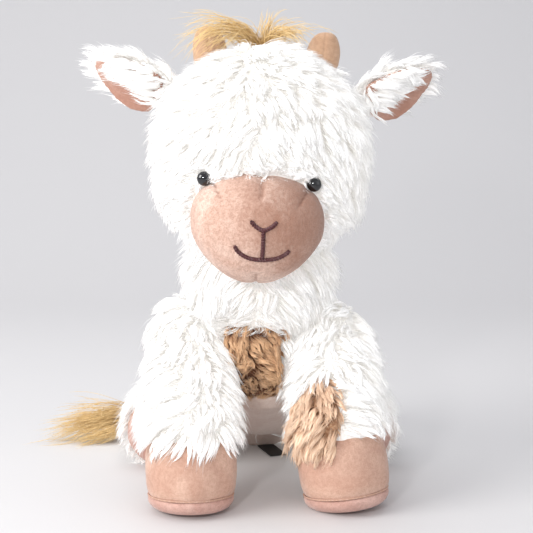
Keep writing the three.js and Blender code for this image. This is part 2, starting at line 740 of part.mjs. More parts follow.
function headGroup() {
  const eyes = [eyeParts(1, "left"), eyeParts(-1, "right")];
  const core = grown(headForm, -FUR);
  const room = [
    neckRoom,
    ball(earPivot(1), EAR_ROOT_RADIUS + SWING_GAP, 14, 8),
    ball(earPivot(-1), EAR_ROOT_RADIUS + SWING_GAP, 14, 8),
  ];
  const shell = carved(headForm, [core, ...room, ...eyes.map((eye) => eye.stemRoom)]);
  const stuffing = carved(grown(headForm, -FUR - GAP), [...room, ...eyes.map((eye) => eye.washerRoom)]);
  const group = frameAt(
    neckPivot,
    piece("head_shell", shell, COLOURS.fur),
    piece("head_stuffing", stuffing, COLOURS.stuffing, 1),
    ...muzzleMeshes(),
    ...eyes.flatMap((eye) => eye.meshes),
    horn(1, "left"),
    horn(-1, "right"),
    forelock(),
    earGroup(1, "left", EAR_RAISE_LEFT),
    earGroup(-1, "right", EAR_RAISE_RIGHT),
  );
  group.rotation.y = radians(HEAD_LEAN);
  return group;
}

// ---------------------------------------------------------------- tail, in a frame at its root

function tailGroup() {
  const root = vector(0, seatBack.y + TAIL_RADIUS + SWING_GAP, TAIL_HEIGHT);
  const cordEnd = vector(-TAIL_REACH, -root.y + TAIL_END_FORWARD, TAIL_RADIUS + 1 - root.z);
  const cord = softForm(
    [
      [vector(TAIL_RADIUS, 0, 0), TAIL_RADIUS, TAIL_RADIUS],
      [vector(-18, 5, -4), TAIL_RADIUS, TAIL_RADIUS],
      [vector(-TAIL_REACH * 0.5, 2, cordEnd.z * 0.75), TAIL_RADIUS, TAIL_RADIUS],
      [vector(-TAIL_REACH * 0.8, cordEnd.y * 0.45, cordEnd.z), TAIL_RADIUS, TAIL_RADIUS],
      [cordEnd, TAIL_RADIUS, TAIL_RADIUS],
    ],
    { around: 8, along: 14, fullness: 0.35, across: vector(0, 0, 1) },
  );
  const tuftWidest = vector(
    cordEnd.x - TAIL_TUFT_LENGTH * 0.3,
    cordEnd.y - TAIL_END_FORWARD,
    TAIL_TUFT_RADIUS - root.z,
  );
  const tuft = softForm(
    [
      [cordEnd.clone().add(vector(10, 0, 0)), TAIL_RADIUS, TAIL_RADIUS],
      [tuftWidest, TAIL_TUFT_RADIUS, TAIL_TUFT_RADIUS],
      [cordEnd.clone().add(vector(-TAIL_TUFT_LENGTH, -10, 0)), TAIL_RADIUS * 0.6, TAIL_RADIUS * 0.6],
    ],
    { around: 10, along: 8, across: vector(0, 0, 1) },
  );
  return frameAt(
    root,
    piece("tail_cord", cord, COLOURS.fur),
    piece("tail_tuft", carved(tuft, [grown(cord, GAP), groundBelow(root.z)]), COLOURS.hair),
  );
}

// ---------------------------------------------------------------- the goat

const group = new THREE.Group();
group.add(
  ...torsoMeshes(),
  neckGroup(),
  headGroup(),
  patchedLegGroup(frontLeft),
  legGroup(frontRight),
  legGroup(hindLeft),
  legGroup(hindRight),
  tailGroup(),
);

export default group;
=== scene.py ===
"""A seated plush goat: shaggy white fur, velour muzzle, horns and hooves, curly patches and hair tufts.

Metres, +Z up. The goat faces -Y and its own left side is +X.
"""

import json
import math

import bmesh
import bpy
import numpy as np
from mathutils import Matrix, Vector, kdtree, noise
from mathutils.bvhtree import BVHTree


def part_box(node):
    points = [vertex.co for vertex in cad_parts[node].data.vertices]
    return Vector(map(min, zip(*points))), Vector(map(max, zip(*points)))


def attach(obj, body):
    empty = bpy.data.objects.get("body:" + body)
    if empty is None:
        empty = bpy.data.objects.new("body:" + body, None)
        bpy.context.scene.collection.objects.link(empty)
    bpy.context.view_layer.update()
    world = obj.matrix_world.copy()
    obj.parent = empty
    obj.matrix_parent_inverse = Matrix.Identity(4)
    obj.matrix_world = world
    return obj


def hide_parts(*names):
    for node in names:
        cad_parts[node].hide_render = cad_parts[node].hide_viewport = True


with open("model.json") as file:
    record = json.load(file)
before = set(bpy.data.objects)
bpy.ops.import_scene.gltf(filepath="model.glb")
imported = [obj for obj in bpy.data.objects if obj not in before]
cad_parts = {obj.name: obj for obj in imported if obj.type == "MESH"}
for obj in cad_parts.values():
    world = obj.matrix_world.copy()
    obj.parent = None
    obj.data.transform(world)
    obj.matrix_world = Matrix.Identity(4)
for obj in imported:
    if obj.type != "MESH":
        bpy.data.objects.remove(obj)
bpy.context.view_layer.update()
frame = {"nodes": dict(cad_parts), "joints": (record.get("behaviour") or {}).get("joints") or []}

MM = 0.001
HEAD_LEAN = math.radians(3)
EYE_RADIUS = 4.5 * MM
SEAM_RADIUS = 0.6 * MM
THREAD_RADIUS = 1.35 * MM
SKIN_VOXEL = 4 * MM
SKIN_INSET = 3.5 * MM
FUR_LENGTH = 15 * MM
NOISE_SEED = 7

# Hoof sizes are plain numbers of mm, because make_hoof works in mm.
FRONT_HOOF_RADIUS, FRONT_HOOF_HEIGHT = 28, 50
HIND_HOOF_RADIUS, HIND_HOOF_HEIGHT = 25, 42
SOLE_THICKNESS = 10.2

noise.seed_set(NOISE_SEED)

joints = {joint["name"]: joint for joint in frame["joints"]}
neck_pivot = Vector(joints["head_turn"]["pos_m"])
head_frame = (
    Matrix.Translation(neck_pivot) @ Matrix.Rotation(HEAD_LEAN, 4, "Y") @ Matrix.Translation(-neck_pivot)
)


# ---------------------------------------------------------------- camera

def make_camera():
    data = bpy.data.cameras.new("camera")
    data.sensor_width = 36
    data.lens = 77.7
    camera = bpy.data.objects.new("camera", data)
    camera.location = (0.005, -0.852, 0.241)
    camera.rotation_euler = (math.radians(90 - 7.3), 0, 0)
    bpy.context.scene.collection.objects.link(camera)
    bpy.context.scene.camera = camera


make_camera()


# ---------------------------------------------------------------- small tools

def box_of(*nodes):
    """The box round CAD nodes."""
    corners = [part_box(node) for node in nodes]
    low = Vector([min(c[0][i] for c in corners) for i in range(3)])
    high = Vector([max(c[1][i] for c in corners) for i in range(3)])
    return low, high


def middle_of(*nodes):
    low, high = box_of(*nodes)
    return (low + high) / 2


def only(piece):
    """The piece alone is selected and active."""
    bpy.ops.object.select_all(action="DESELECT")
    piece.select_set(True)
    bpy.context.view_layer.objects.active = piece
    return piece


def new_piece(name, mesh):
    """A mesh as an object in the scene."""
    piece = bpy.data.objects.new(name, mesh)
    bpy.context.scene.collection.objects.link(piece)
    return piece


def active(name):
    """The primitive just added, named."""
    piece = bpy.context.active_object
    piece.name = name
    piece.data.name = name
    return piece


def settle(piece):
    """The object's place goes into its mesh."""
    piece.data.transform(piece.matrix_world)
    piece.matrix_world = Matrix.Identity(4)
    return piece


def modified(piece, kind, **values):
    """A modifier added, set and applied."""
    only(piece)
    modifier = piece.modifiers.new(kind.title(), kind)
    for key, value in values.items():
        setattr(modifier, key, value)
    bpy.ops.object.modifier_apply(modifier=modifier.name)
    return piece


def smooth(piece):
    piece.data.shade_smooth()
    return piece


def points_of(mesh):
    flat = np.empty(len(mesh.vertices) * 3, np.float64)
    mesh.vertices.foreach_get("co", flat)
    return flat.reshape(-1, 3)


def set_points(mesh, points):
    mesh.vertices.foreach_set("co", np.asarray(points, np.float32).ravel())
    mesh.update()


def unit(vectors):
    return vectors / np.maximum(np.linalg.norm(vectors, axis=-1, keepdims=True), 1e-9)


def wear(piece, body, material):
    """The piece gets its material and its slot, and rides on its body."""
    piece.data.materials.clear()
    piece.data.materials.append(material)
    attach(piece, body)
    return piece


# ---------------------------------------------------------------- materials

class Value:
    """A shader socket whose arithmetic adds Math nodes."""

    def __init__(self, shade, socket):
        self.shade = shade
        self.socket = socket

    def math(self, operation, *others):
        return self.shade.node("ShaderNodeMath", {"operation": operation}, {
            i: other for i, other in enumerate((self, *others))
        })[0]

    def __add__(self, other):
        return self.math("ADD", other)

    __radd__ = __add__

    def __sub__(self, other):
        return self.math("SUBTRACT", other)

    def __rsub__(self, other):
        return self.shade.node("ShaderNodeMath", {"operation": "SUBTRACT"}, {0: other, 1: self})[0]

    def __mul__(self, other):
        return self.math("MULTIPLY", other)

    __rmul__ = __mul__

    def between(self, low, high):
        """0 at low, 1 at high, smooth between."""
        settings = {"interpolation_type": "SMOOTHSTEP"}
        return self.shade.node("ShaderNodeMapRange", settings, {0: self, 1: low, 2: high})[0]


class Shade:
    """One material's node tree."""

    def __init__(self, name, **constants):
        self.material = bpy.data.materials.new(name)
        self.material.use_nodes = True
        self.tree = self.material.node_tree
        self.surface = self.tree.nodes["Principled BSDF"]
        for socket, value in constants.items():
            self.surface.inputs[socket.replace("_", " ")].default_value = value

    def node(self, kind, settings=None, inputs=None):
        node = self.tree.nodes.new(kind)
        for key, value in (settings or {}).items():
            setattr(node, key, value)
        for key, value in (inputs or {}).items():
            socket = node.inputs[key]
            if isinstance(value, Value):
                self.tree.links.new(value.socket, socket)
            else:
                socket.default_value = value
        return [Value(self, output) for output in node.outputs]

    def place(self):
        return self.node("ShaderNodeTexCoord")[3]

    def attribute(self, name):
        return self.node("ShaderNodeAttribute", {"attribute_name": name})[2]

    def noise(self, scale, detail=2.0, roughness=0.5, distortion=0.0):
        return self.node("ShaderNodeTexNoise", {}, {
            "Vector": self.place(), "Scale": scale, "Detail": detail, "Roughness": roughness,
            "Distortion": distortion,
        })[0]

    def mixed(self, amount, first, second):
        tint = lambda colour: colour if isinstance(colour, Value) else (*colour, 1)
        return self.node("ShaderNodeMix", {"data_type": "RGBA"}, {
            0: amount, 6: tint(first), 7: tint(second),
        })[2]

    def bump(self, height, strength, distance):
        return self.node("ShaderNodeBump", {}, {
            "Height": height, "Strength": strength, "Distance": distance,
        })[0]

    def feed(self, **links):
        for socket, value in links.items():
            self.tree.links.new(value.socket, self.surface.inputs[socket.replace("_", " ")])
        return self.material


def fur_material(name, root, tip, shade, sheen=0.25, roughness=0.65, streaks=0.5, painted_glow=0.0):
    """Pile that is darker at its roots, a painted shade deep in the pile, streaked along its locks, in
    locks of slightly different tone.
    painted_glow is a little painted glow of its own, in place of the light that real pile passes from hair
    to hair."""
    look = Shade(
        name, Roughness=roughness, Sheen_Weight=sheen, Sheen_Roughness=0.4, Specular_IOR_Level=0.25,
        Emission_Strength=painted_glow,
    )
    along = look.attribute("along")
    lock = look.attribute("lock")
    pile = look.node("ShaderNodeAttribute", {"attribute_name": "pile"})[1]
    hairs = look.node("ShaderNodeTexNoise", {}, {"Vector": pile, "Scale": 2.6, "Detail": 3.0})[0]
    streak = hairs.between(0.38, 0.62)
    patches = look.noise(38, 3).between(0.42, 0.72)
    # The root colour is darker than the tip as painted shade deep in the pile.
    pale = look.mixed(along.between(0.0, 0.7), root, tip)
    deep = look.mixed(along.between(0.0, 0.8), root, shade)
    amount = patches * 0.3 + lock * 0.25 + (1 - streak) * streaks
    colour = look.mixed(amount, pale, deep)
    return look.feed(Base_Color=colour, Emission_Color=colour, Normal=look.bump(hairs, 0.25, 0.0008))


def skin_material(name, colour, deep, painted_glow=0.0):
    """The short woolly ground that the pile stands on. painted_glow makes it glow a little, a painted light
    that lifts the shade between the hairs.
    """
    look = Shade(name, Roughness=0.95, Sheen_Weight=0.3, Specular_IOR_Level=0.1, Emission_Strength=painted_glow)
    wool = look.noise(700, 4, 0.6)
    colour = look.mixed(wool.between(0.35, 0.65), deep, colour)
    return look.feed(Base_Color=colour, Emission_Color=colour, Normal=look.bump(wool, 0.6, 0.0015))


def velour_material(name, light, middle, dark):
    """Short brushed pile: broad strokes of nap, a fine grain and a soft sheen."""
    look = Shade(name, Roughness=0.85, Sheen_Weight=0.35, Sheen_Roughness=0.35, Specular_IOR_Level=0.2)
    grain = look.noise(1500, 3, 0.65)
    mottle = look.noise(420, 3, 0.6)
    strokes = look.noise(26, 3, 0.5, 0.8)
    stroke = strokes.between(0.36, 0.66)
    base = look.mixed(stroke, middle, light)
    speckle = grain.between(0.38, 0.62) * 0.5 + mottle.between(0.35, 0.65) * 0.5
    return look.feed(
        Base_Color=look.mixed((1 - speckle) * 0.45, base, dark),
        Normal=look.bump(grain * 0.6 + mottle * 0.6, 0.55, 0.0009),
    )


def plain_material(name, colour, roughness, fleck=0.0, **constants):
    """One colour with lighter flecks."""
    look = Shade(name, Roughness=roughness, **constants)
    speck = look.noise(900, 2)
    lighter = tuple(min(1.0, c + fleck) for c in colour)
    return look.feed(Base_Color=look.mixed(speck.between(0.4, 0.7), colour, lighter))


# The last number of the fur and white ground materials is a painted glow that lifts the shade inside the
# pile.
WHITE_FUR = fur_material(
    "white_fur", (0.95, 0.93, 0.90), (0.98, 0.975, 0.97), (0.95, 0.935, 0.915), streaks=0.35, painted_glow=0.17,
)
CURLY_PLUSH = fur_material(
    "curly_plush", (0.30, 0.14, 0.07), (0.88, 0.61, 0.38), (0.58, 0.32, 0.16), 0.2, painted_glow=0.07,
)
PALE_PLUSH = fur_material(
    "pale_plush", (0.60, 0.38, 0.24), (0.93, 0.72, 0.55), (0.76, 0.52, 0.35), 0.2, painted_glow=0.10,
)
GOLD_HAIR = fur_material(
    "gold_hair", (0.55, 0.34, 0.13), (0.94, 0.73, 0.40), (0.72, 0.48, 0.20), 0.1, 0.45, painted_glow=0.06,
)
WHITE_GROUND = skin_material("white_ground", (0.96, 0.95, 0.93), (0.88, 0.86, 0.82), 0.14)
CURLY_GROUND = skin_material("curly_ground", (0.22, 0.09, 0.04), (0.09, 0.03, 0.012))
PALE_GROUND = skin_material("pale_ground", (0.50, 0.30, 0.18), (0.30, 0.15, 0.08))
TAN = ((0.74, 0.51, 0.40), (0.60, 0.37, 0.28), (0.36, 0.18, 0.12))
HORN_TAN = ((0.70, 0.48, 0.34), (0.58, 0.37, 0.24), (0.34, 0.18, 0.11))
PINK = ((0.62, 0.38, 0.30), (0.50, 0.27, 0.20), (0.28, 0.125, 0.09))
SOLE_PINK = ((0.72, 0.48, 0.41), (0.58, 0.34, 0.28), (0.32, 0.16, 0.12))
PALE = ((0.80, 0.68, 0.61), (0.72, 0.57, 0.50), (0.56, 0.40, 0.33))
EAR_VELOUR = velour_material("ear_velour", *PINK)
HOOF_VELOUR = velour_material("hoof_velour", *TAN)
SOLE_VELOUR = velour_material("sole_velour", *SOLE_PINK)
HORN_VELOUR = velour_material("horn_velour", *HORN_TAN)
BELLY_VELOUR = velour_material("belly_velour", *PALE)
THREAD = plain_material("thread", (0.075, 0.012, 0.014), 0.55, 0.05)
SEAM_SHADE = plain_material("seam_shade", (0.50, 0.30, 0.22), 0.9, 0.08)
EYE_BLACK = plain_material("eye_black", (0.004, 0.004, 0.005), 0.05, 0.0, Coat_Weight=0.6)
LABEL_CLOTH = plain_material("label_cloth", (0.008, 0.008, 0.009), 0.6, 0.02)


# ---------------------------------------------------------------- strands

def ring_faces(count, rings, corners):
    """Corner indices of closed strands: a base cap, quads and a pointed end."""
    stride = rings * corners + 1
    after = lambda c: (c + 1) % corners
    quads = [
        (r * corners + c, r * corners + after(c), (r + 1) * corners + after(c), (r + 1) * corners + c)
        for r in range(rings - 1) for c in range(corners)
    ]
    last = (rings - 1) * corners
    triangles = [(0, c + 1, c) for c in range(1, corners - 1)]
    triangles += [(last + c, last + after(c), rings * corners) for c in range(corners)]
    base = np.arange(count)[:, None, None] * stride
    return (np.array(quads)[None] + base).reshape(-1, 4), (np.array(triangles)[None] + base).reshape(-1, 3)


def strand_mesh(name, paths, across, width, depth, locks, taper, corners=3):
    """One closed tapering strand along each path. paths is strands by points by three."""
    count, steps = paths.shape[:2]
    rings = steps - 1
    tangent = unit(np.gradient(paths, axis=1))
    side = unit(across[:, None] - tangent * (tangent * across[:, None]).sum(axis=2, keepdims=True))
    up = np.cross(tangent, side)
    shape = np.interp(np.linspace(0, 1, rings), np.linspace(0, 1, len(taper)), taper)[None, :, None]
    angles = np.arange(corners) * 2 * math.pi / corners
    wide = side[:, :rings] * width[:, None, None]
    deep = up[:, :rings] * depth[:, None, None]
    rim = [math.cos(a) * wide + math.sin(a) * deep for a in angles]
    body = np.stack([paths[:, :rings] + shape * r for r in rim], axis=2).reshape(count, rings * corners, 3)
    vertices = np.concatenate([body, paths[:, -1:]], axis=1).reshape(-1, 3)
    vertices[:, 2] = np.maximum(vertices[:, 2], 0.2 * MM)
    quads, triangles = ring_faces(count, rings, corners)
    mesh = bpy.data.meshes.new(name)
    mesh.vertices.add(len(vertices))
    mesh.vertices.foreach_set("co", vertices.astype(np.float32).ravel())
    mesh.loops.add(quads.size + triangles.size)
    loops = np.concatenate([quads.ravel(), triangles.ravel()])
    mesh.loops.foreach_set("vertex_index", loops.astype(np.int32))
    mesh.polygons.add(len(quads) + len(triangles))
    starts = np.concatenate([np.arange(len(quads)) * 4, quads.size + np.arange(len(triangles)) * 3])
    mesh.polygons.foreach_set("loop_start", starts.astype(np.int32))
    mesh.update(calc_edges=True)
    mesh.shade_smooth()
    stride = rings * corners + 1
    share = np.concatenate([np.repeat(np.linspace(0, 1, steps)[:-1], corners), [1.0]])
    turn = np.concatenate([np.tile(angles, rings), [0.0]])
    rng = np.random.default_rng(count)
    offset = rng.random((count, 1, 3)) * 40
    pile = np.stack([np.cos(turn) * 1.6, np.sin(turn) * 1.6, share * 1.1], axis=1)[None] + offset
    for label, values in (("along", np.tile(share, count)), ("lock", np.repeat(locks, stride))):
        attribute = mesh.attributes.new(label, "FLOAT", "POINT")
        attribute.data.foreach_set("value", values.astype(np.float32))
    attribute = mesh.attributes.new("pile", "FLOAT_VECTOR", "POINT")
    attribute.data.foreach_set("vector", pile.astype(np.float32).ravel())
    return new_piece(name, mesh)


def surface_roots(skin, density, rng):
    """Points spread evenly over a skin, with its normals there. density is in points per square metre."""
    mesh = skin.data
    mesh.calc_loop_triangles()
    points = points_of(mesh)
    corners = np.array([t.vertices for t in mesh.loop_triangles])
    normals = np.array([v.vector for v in mesh.vertex_normals])
    a, b, c = (points[corners[:, i]] for i in range(3))
    area = np.linalg.norm(np.cross(b - a, c - a), axis=1) / 2
    count = int(area.sum() * density)
    chosen = rng.choice(len(area), count, p=area / area.sum())
    u, v = rng.random((2, count))
    flip = u + v > 1
    u[flip], v[flip] = 1 - u[flip], 1 - v[flip]
    weights = np.stack([1 - u - v, u, v], axis=1)[..., None]
    spots = corners[chosen]
    return (points[spots] * weights).sum(axis=1), unit((normals[spots] * weights).sum(axis=1))


def smooth_noise(points, scale, seed):
    """A smooth random vector at each point."""
    shift = Vector((seed * 7.31, seed * 3.77, seed * 1.93))
    return np.array([noise.noise_vector(Vector(p) * scale + shift) for p in points])


def nearest(points, centres):
    """The index of the nearest centre to each point."""
    tree = kdtree.KDTree(len(centres))
    for i, centre in enumerate(centres):
        tree.insert(centre, i)
    tree.balance()
    return np.array([tree.find(p)[1] for p in points])


def paths_from(roots, normals, flow, spec, steps, noise_seed):
    """Curved paths that leave along the normal and lie over into the flow."""
    wander = smooth_noise(roots, spec["swirl_scale"], noise_seed) * spec["swirl"]
    fine = smooth_noise(roots, spec["swirl_scale"] * 3, noise_seed + 5) * spec["swirl"] * 0.6
    tangential = flow + wander + fine
    tangential -= normals * (tangential * normals).sum(axis=1, keepdims=True)
    tangential = unit(tangential)
    path = [np.zeros_like(roots)]
    step = 1 / (steps - 1)
    for i in range(steps - 1):
        s = (i + 0.5) * step
        lift = spec["lift"] * (1 - s) + spec["lift_end"] * s
        aim = unit(normals * lift + tangential * (1 - lift) + np.array([0, 0, -1.0]) * spec["droop"] * s)
        path.append(path[-1] + aim * step)
    return np.stack(path, axis=1)


FUR = {
    "density": 0.40e6, "length": FUR_LENGTH, "radius": 0.22 * MM, "lift": 0.62, "lift_end": 0.12,
    "droop": 0.2, "swirl": 1.4, "swirl_scale": 20, "clump": 3.6 * MM, "gather": 0.45, "wave": 1.1 * MM,
    "waves": 1.0, "steps": 4, "curl": 0.0, "curls": 1.5, "stray": 0.08, "lock_width": 1.35 * MM,
    "lock_depth": 0.6 * MM, "tuft": 11 * MM, "tuft_gather": 0.4,
}
MOST_TRIANGLES = 170000
LOCK_CORNERS = 5


def round_about(points):
    """The order of points by their angle about their middle, so that parts of it lie together."""
    middle = points.mean(axis=0)
    return np.argsort(np.arctan2(points[:, 0] - middle[0], points[:, 1] - middle[1]))


def grow(name, skin, body, slot, material, flow, keep, seed, trim=None, **changes):
    """Fur on a skin, in locks and single strands. flow gives the way it is combed at each root, and keep
    says which roots stay."""
    spec = {**FUR, **changes}
    rng = np.random.default_rng(seed)
    roots, normals = surface_roots(skin, spec["density"], rng)
    kept = keep(roots, normals)
    roots, normals = roots[kept], normals[kept]
    order = round_about(roots)
    roots, normals = roots[order], normals[order]
    count = len(roots)
    guides_wanted = int(count / (spec["density"] * spec["clump"] ** 2))
    guides = np.sort(rng.choice(count, guides_wanted, replace=False))
    steps = 6
    combed = flow(roots[guides], normals[guides])
    guide_paths = paths_from(roots[guides], normals[guides], combed, spec, steps, seed)
    long = spec["length"] * (0.72 + 0.5 * rng.random(len(guides)))
    if trim is not None:
        long = long * trim(roots[guides])
    tones = rng.random(len(guides))
    side = unit(np.cross(normals[guides], guide_paths[:, -1]))
    s = np.linspace(0, 1, steps)[None, :, None]
    phase = rng.random((len(guides), 1, 1))
    bend = side[:, None] * np.sin(2 * math.pi * (s * spec["waves"] + phase)) * spec["wave"] * s
    if spec["curl"]:
        turn = 2 * math.pi * (s * spec["curls"] + phase)
        over = unit(np.cross(side, guide_paths[:, -1]))
        ringlet = side[:, None] * np.cos(turn) + over[:, None] * np.sin(turn)
        bend = bend + ringlet * spec["curl"] * s ** 0.5
    tufts_wanted = max(2, int(len(guides) * (spec["clump"] / spec["tuft"]) ** 2))
    tufts = rng.choice(len(guides), tufts_wanted, replace=False)
    tuft = tufts[nearest(roots[guides], roots[guides[tufts]])]
    shapes = guide_paths * long[:, None, None] + bend
    ends = (roots[guides][:, None] + shapes)[tuft]
    pull = spec["tuft_gather"] * s ** 1.6
    shapes = shapes * (1 - pull) + (ends - roots[guides][:, None]) * pull
    spine = roots[guides][:, None] + shapes
    spine[..., 2] = np.maximum(spine[..., 2], 0.8 * MM)
    pieces = []
    each = (steps - 2) * 2 * LOCK_CORNERS + 2 * LOCK_CORNERS - 2
    chunks = max(1, math.ceil(len(guides) * each / MOST_TRIANGLES))
    for part, chosen in enumerate(np.array_split(np.arange(len(guides)), chunks)):
        bulk = np.clip(long[chosen] / spec["length"], 0.5, 1.2) * (0.8 + 0.4 * rng.random(len(chosen)))
        pieces.append(strand_mesh(
            f"{name}_locks_{part}", spine[chosen], side[chosen], spec["lock_width"] * bulk,
            spec["lock_depth"] * bulk, tones[chosen], (0.55, 0.95, 1.0, 0.75, 0.4), LOCK_CORNERS,
        ))
    owner = nearest(roots, roots[guides])
    size = 0.8 + 0.35 * rng.random(count)
    fine = spec["steps"]
    at = np.linspace(0, 1, fine) * (steps - 1)
    low = np.minimum(at.astype(int), steps - 2)
    blend = (at - low)[None, :, None]
    path = shapes[:, low] * (1 - blend) + shapes[:, low + 1] * blend
    s = np.linspace(0, 1, fine)[None, :, None]
    gather = spec["gather"] * s ** 1.2 * (0.6 + 0.6 * rng.random((count, 1, 1)))
    path = path[owner] * size[:, None, None] + (
        roots[:, None] * (1 - gather) + roots[guides][owner][:, None] * gather
    )
    stray = rng.normal(0, 1, (count, 1, 3)) * spec["stray"] * long[owner][:, None, None]
    path = path + stray * s ** 1.5 + normals[:, None] * 0.6 * MM * s
    path[..., 2] = np.maximum(path[..., 2], 0.5 * MM)
    radius = spec["radius"] * (0.75 + 0.5 * rng.random(count))
    each = (fine - 2) * 6 + 4
    chunks = max(1, math.ceil(count * each / MOST_TRIANGLES))
    for part, chosen in enumerate(np.array_split(np.arange(count), chunks)):
        pieces.append(strand_mesh(
            f"{name}_strands_{part}", path[chosen], side[owner[chosen]], radius[chosen], radius[chosen],
            tones[owner[chosen]], (1.0, 1.0, 0.8, 0.5),
        ))
    for piece in pieces:
        wear(piece, body, material)
    return pieces


# ---------------------------------------------------------------- skins

def copied(nodes, name):
    """CAD nodes joined into one new mesh."""
    joined = bmesh.new()
    for node in nodes:
        joined.from_mesh(frame["nodes"][node].data)
    bmesh.ops.remove_doubles(joined, verts=joined.verts, dist=0.01 * MM)
    mesh = bpy.data.meshes.new(name)
    joined.to_mesh(mesh)
    joined.free()
    return new_piece(name, mesh)


def stuffed_skin(name, nodes, body, voxel=SKIN_VOXEL, inset=SKIN_INSET, rounds=6):
    """The woolly ground under the fur, a closed soft form a little inside its CAD solids."""
    skin = copied(nodes, name)
    modified(skin, "REMESH", mode="VOXEL", voxel_size=voxel)
    modified(skin, "DISPLACE", strength=-inset, mid_level=0)
    modified(skin, "SMOOTH", factor=0.5, iterations=rounds)
    smooth(plump(skin, inset * 0.5 if inset > 0 else 1.5 * MM, max(voxel, 3 * MM)))
    wear(skin, body, WHITE_GROUND)
    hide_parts(*nodes)
    return skin


def blown(piece, voxel, pressure):
    """Where a coarse copy's points start, and their travel as cloth full of soft pressure."""
    balloon = new_piece(piece.name + "_balloon", piece.data.copy())
    modified(balloon, "REMESH", mode="VOXEL", voxel_size=voxel)
    start = points_of(balloon.data)
    only(balloon)
    cloth = balloon.modifiers.new("Cloth", "CLOTH")
    cloth.settings.use_pressure = True
    cloth.settings.uniform_pressure_force = pressure
    cloth.settings.effector_weights.gravity = 0
    cloth.settings.quality = 4
    cloth.point_cache.frame_start = 1
    cloth.point_cache.frame_end = 20
    for step in range(1, 21):
        bpy.context.scene.frame_set(step)
    bpy.ops.object.modifier_apply(modifier=cloth.name)
    bpy.context.scene.frame_set(1)
    travel = points_of(balloon.data) - start
    mesh = balloon.data
    bpy.data.objects.remove(balloon)
    bpy.data.meshes.remove(mesh)
    return start, travel


def plump(piece, cap, voxel=4 * MM, pressure=4.0):
    """The swell and slack of stuffing: the piece follows its coarse copy, with its travel held to a cap."""
    start, travel = blown(piece, voxel, pressure)
    reach = np.linalg.norm(travel, axis=1, keepdims=True)
    travel = travel * np.minimum(1, cap / np.maximum(reach, 1e-9))
    tree = kdtree.KDTree(len(start))
    for i, spot in enumerate(start):
        tree.insert(spot, i)
    tree.balance()
    points = points_of(piece.data)
    for row, spot in enumerate(points):
        found = tree.find_n(spot, 8)
        shares = np.array([1 / (distance + MM) for _, _, distance in found])
        points[row] = spot + shares @ travel[[index for _, index, _ in found]] / shares.sum()
    set_points(piece.data, points)
    return piece


def surface_of(*pieces):
    """Search trees for the surfaces of pieces or CAD nodes."""
    trees = []
    for piece in pieces:
        mesh = piece.data
        vertices = [v.co for v in mesh.vertices]
        trees.append(BVHTree.FromPolygons(vertices, [p.vertices for p in mesh.polygons]))
    return trees


def clear_of(trees, distance, reach=0.0):
    """A test that a root is this far from all the surfaces, and its fur wouldn't run straight into one."""
    def test(roots, normals):
        kept = np.ones(len(roots), bool)
        for i, (root, normal) in enumerate(zip(roots, normals)):
            spot = Vector(root)
            way = Vector(normal)
            for tree in trees:
                if tree.find_nearest(spot, distance)[0] is not None:
                    kept[i] = False
                    break
                if reach and tree.ray_cast(spot + way * 0.5 * MM, way, reach)[0] is not None:
                    kept[i] = False
                    break
        return kept
    return test


skins = {
    "torso": stuffed_skin(
        "torso_skin", ["torso_shell", "torso_stuffing", "pellet_bag", "chest_patch", "belly_panel"],
        "torso",
    ),
    "neck": stuffed_skin("neck_skin", ["neck_sleeve", "neck_stuffing"], "neck", inset=-5 * MM),
    "head": stuffed_skin("head_skin", ["head_shell", "head_stuffing"], "head"),
    "tail": stuffed_skin(
        "tail_skin", ["tail_cord"], "tail", voxel=2 * MM, inset=1.5 * MM, rounds=3,
    ),
}
for leg in ("front_leg_left", "front_leg_right", "hind_leg_left", "hind_leg_right"):
    nodes = [leg + "_sleeve", leg + "_stuffing"] + ([leg + "_patch"] if leg == "front_leg_left" else [])
    skins[leg] = stuffed_skin(leg + "_skin", nodes, leg)
for ear in ("ear_left", "ear_right"):
    node = ear.replace("ear", "ear_outer")
    skins[ear] = stuffed_skin(
        ear + "_skin", [node], ear, voxel=1.6 * MM, inset=0.8 * MM, rounds=3,
    )


# ---------------------------------------------------------------- muzzle and its embroidery

def in_head(points):
    """Points of the unleaned head frame, in the row frame."""
    points = np.asarray(points, float)
    turn = np.array(head_frame.to_3x3())
    return points @ turn.T + np.array(head_frame.translation)


def unleaned_box(node):
    """A node's box in the unleaned head frame."""
    points = points_of(frame["nodes"][node].data)
    turn = np.array(head_frame.to_3x3())
    flat = (points - np.array(head_frame.translation)) @ turn
    return flat.min(0), flat.max(0)


muzzle_low, muzzle_high = unleaned_box("muzzle_shell")
muzzle_middle = (muzzle_low + muzzle_high) / 2
muzzle_half = (muzzle_high - muzzle_low) / 2
MUZZLE_DEPTH = 34 * MM
muzzle_centre = np.array([muzzle_middle[0], muzzle_low[1] + MUZZLE_DEPTH, muzzle_middle[2]])

# Darts sewn into the velour: outer end, inner end and depth, as shares of the half width and half height.
DARTS = (
    ((0.07, 1.02), (0.04, 0.50), 2.4 * MM),
    ((-0.70, 0.80), (-0.50, 0.44), 1.5 * MM),
    ((0.74, 0.74), (0.56, 0.40), 1.5 * MM),
    ((0.02, -1.02), (0.02, -0.70), 1.5 * MM),
)


def muzzle_outline(height):
    """How much wider or narrower than an oval the muzzle is at a height from -1 to 1."""
    return 1 + 0.20 * np.maximum(height, 0) ** 1.3 - 0.19 * np.maximum(-height, 0) ** 1.3


def segment_distance(points, start, end):
    """How far points are from a segment, and where along it they lie, from 0 to 1."""
    start, end = np.array(start), np.array(end)
    way = end - start
    share = np.clip(((points - start) @ way) / (way @ way), 0, 1)
    return np.linalg.norm(points - start - share[:, None] * way, axis=1), share


